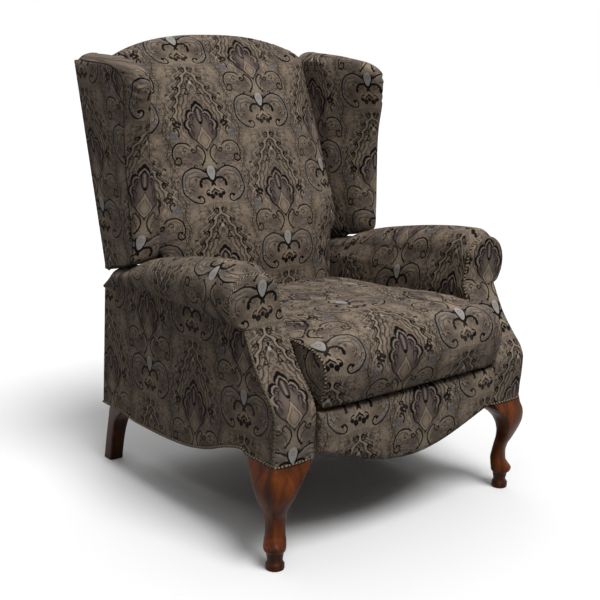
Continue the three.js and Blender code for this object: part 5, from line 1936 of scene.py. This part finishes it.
@dataclass
class Studio:
    """Pale floor, white surroundings, soft lamps and the camera of the picture."""

    camera_place: Sequence[float] = (-1551.8, -1595.6, 1069.6)
    camera_aim: Sequence[float] = (-32.3, 354.8, 475.1)
    lens: float = 62.87
    sensor: float = 36.0
    floor_size: float = 40.0
    ambient: float = 0.05
    floor_white: float = 0.98
    floor_bounce: float = 0.16
    suns: Sequence[tuple[str, Sequence[float], float, float]] = (
        ("key", (0.0, -0.48, 0.86), 2.3, 26), ("top", (0.0, -0.06, 1.0), 0.95, 90),
        ("fill", (-0.7, -0.7, 0.8), 0.14, 60), ("rear", (0.2, 0.8, 0.9), 0.3, 50),
        ("glint", (-0.72, -0.68, 0.1), 0.14, 8))

    def world(self) -> None:
        """White surroundings for the camera and for reflections, and soft grey ones as light."""
        world = bpy.data.worlds.new("studio")
        bpy.context.scene.world = world
        world.use_nodes = True
        board = Board.on(world.node_tree, "ShaderNodeOutputWorld")
        shown = board.node("Background", Color=(1, 1, 1, 1), Strength=1.0)
        light = board.node("Background", Color=(1, 1, 1, 1), Strength=self.ambient)
        mixer = board.node("MixShader", n0=self.seen(board), n1=light.outputs[0], n2=shown.outputs[0])
        board.tree.links.new(mixer.outputs[0], board.output.inputs[0])

    @staticmethod
    def seen(board: Board) -> Value:
        """1 for rays of the camera and of reflections and refractions of it."""
        path = board.node("LightPath")
        rays = [Value(board, path.outputs[f"Is {kind} Ray"]) for kind in ("Camera", "Glossy", "Transmission")]
        return rays[0].most(rays[1]).most(rays[2])

    def floor(self) -> None:
        """Large white floor that keeps the chair's shadow, and gives back less light than it shows."""
        half = self.floor_size / 2
        mesh = bpy.data.meshes.new("floor")
        mesh.from_pydata([(-half, -half, 0), (half, -half, 0), (half, half, 0), (-half, half, 0)], [],
                         [(0, 1, 2, 3)])
        floor = bpy.data.objects.new("floor", mesh)
        bpy.context.scene.collection.objects.link(floor)
        board = Board("floor_paper")
        shown = board.node("BsdfDiffuse", Color=(self.floor_white,) * 3 + (1,))
        light = board.node("BsdfDiffuse", Color=(self.floor_bounce,) * 3 + (1,))
        both = board.node("MixShader", n0=self.seen(board), n1=light.outputs[0], n2=shown.outputs[0])
        board.tree.links.new(both.outputs[0], board.output.inputs[0])
        mesh.materials.append(board.material)
        floor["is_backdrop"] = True

    def sun(self, name: str, towards: Sequence[float], strength: float, spread: float) -> None:
        """Even soft light from a direction.

        Args:
            name: Name of the lamp.
            towards: Direction from the chair to the light.
            strength: Its strength.
            spread: How wide it looks, in degrees.
        """
        data = bpy.data.lights.new(name, "SUN")
        data.energy = strength
        data.angle = math.radians(spread)
        lamp = bpy.data.objects.new(name, data)
        bpy.context.scene.collection.objects.link(lamp)
        lamp.location = Vector(towards) * 4
        lamp.rotation_euler = Vector(towards).to_track_quat("Z", "Y").to_euler()

    def camera(self) -> None:
        """Camera at the picture's viewpoint."""
        data = bpy.data.cameras.new("camera")
        data.lens = self.lens
        data.sensor_width = self.sensor
        camera = bpy.data.objects.new("camera", data)
        bpy.context.scene.collection.objects.link(camera)
        shift = Vector((0, CHAIR_MIDDLE, 0))
        place = (Vector(self.camera_place) - shift) * MILLIMETRE
        aim = (Vector(self.camera_aim) - shift) * MILLIMETRE
        camera.location = place
        camera.rotation_euler = (aim - place).to_track_quat("-Z", "Y").to_euler()
        bpy.context.scene.camera = camera

    def build(self) -> None:
        """Sets everything up."""
        bpy.context.scene.view_settings.view_transform = "Standard"
        self.world()
        self.floor()
        for lamp in self.suns:
            self.sun(*lamp)
        self.camera()


def keep_sizes(before: object) -> None:
    """Lists the corners of the box of the solids and of the box of the dressed chair."""
    lists = [[list(map(float, corner)) for corner in box] for box in (before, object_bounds())]


def finish_solids(nodes: dict[str, bpy.types.Object], dress: Dress) -> None:
    """Gives the solids that still show their finish: raw wood for the frame, steel for the mechanism.

    Args:
        nodes: The solids by name.
        dress: The finishes.
    """
    for name, node in nodes.items():
        if node.hide_render:
            continue
        wooden = any(word in name for word in ("frame", "rail", "post", "board"))
        for slot in node.material_slots:
            slot.material = dress.frame if wooden else dress.steel


def main() -> None:
    """Builds the chair, piece by piece, and its studio."""
    logging.basicConfig(level=logging.INFO, format="%(name)s: %(message)s")
    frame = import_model()
    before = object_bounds()
    raw = PlainFinish("raw_wood", srgb(196, 160, 112), srgb(160, 120, 78), 0.7)
    black = PlainFinish("black_lining", srgb(40, 38, 36), srgb(24, 22, 22), 0.95)
    steel = PlainFinish("satin_steel", srgb(90, 92, 96), srgb(58, 60, 64), 0.4, 0.9)
    dress = Dress(cloth=DamaskCloth().material("damask_cloth"), welt=WeltCord().material(),
                  # Dark cord for the wing seams: its colours are painted shade of the seam's groove.
                  dark_welt=WeltCord("seam_shade_welt_cord", srgb(66, 57, 50), srgb(22, 18, 18)).material(),
                  leg=CherryWood().material("cherry_wood"),
                  # The rear legs are the same cherry with half its colour turned to painted shade.
                  rear_leg=CherryWood(shade=0.5).material("painted_shade_cherry_wood"),
                  frame=raw.material(), lining=black.material(), steel=steel.material())
    SeatCushion().build(dress)
    BackCushion().build(dress)
    OutsideBack().build(dress)
    Wing().build(dress)
    Arm().build(dress)
    FootrestPad().build(dress)
    FrontLeg().build(dress)
    RearLeg().build(dress)
    PlainPad("rear_apron_cover", (-271.7, 722.3, 186.0), (271.7, 734.3, 338.0), 1).build(
        dress, dress.cloth, "base", "upholstery", "rear_apron")
    PlainPad("seat_deck_cloth", (-252.0, 46.0, 342.6), (252.0, 596.0, 350.6), 2).build(
        dress, dress.lining, "seat", "lining", "seat_deck")
    finish_solids(frame["nodes"], dress)
    Studio().build()
    keep_sizes(before)


if __name__ == "__main__":
    main()
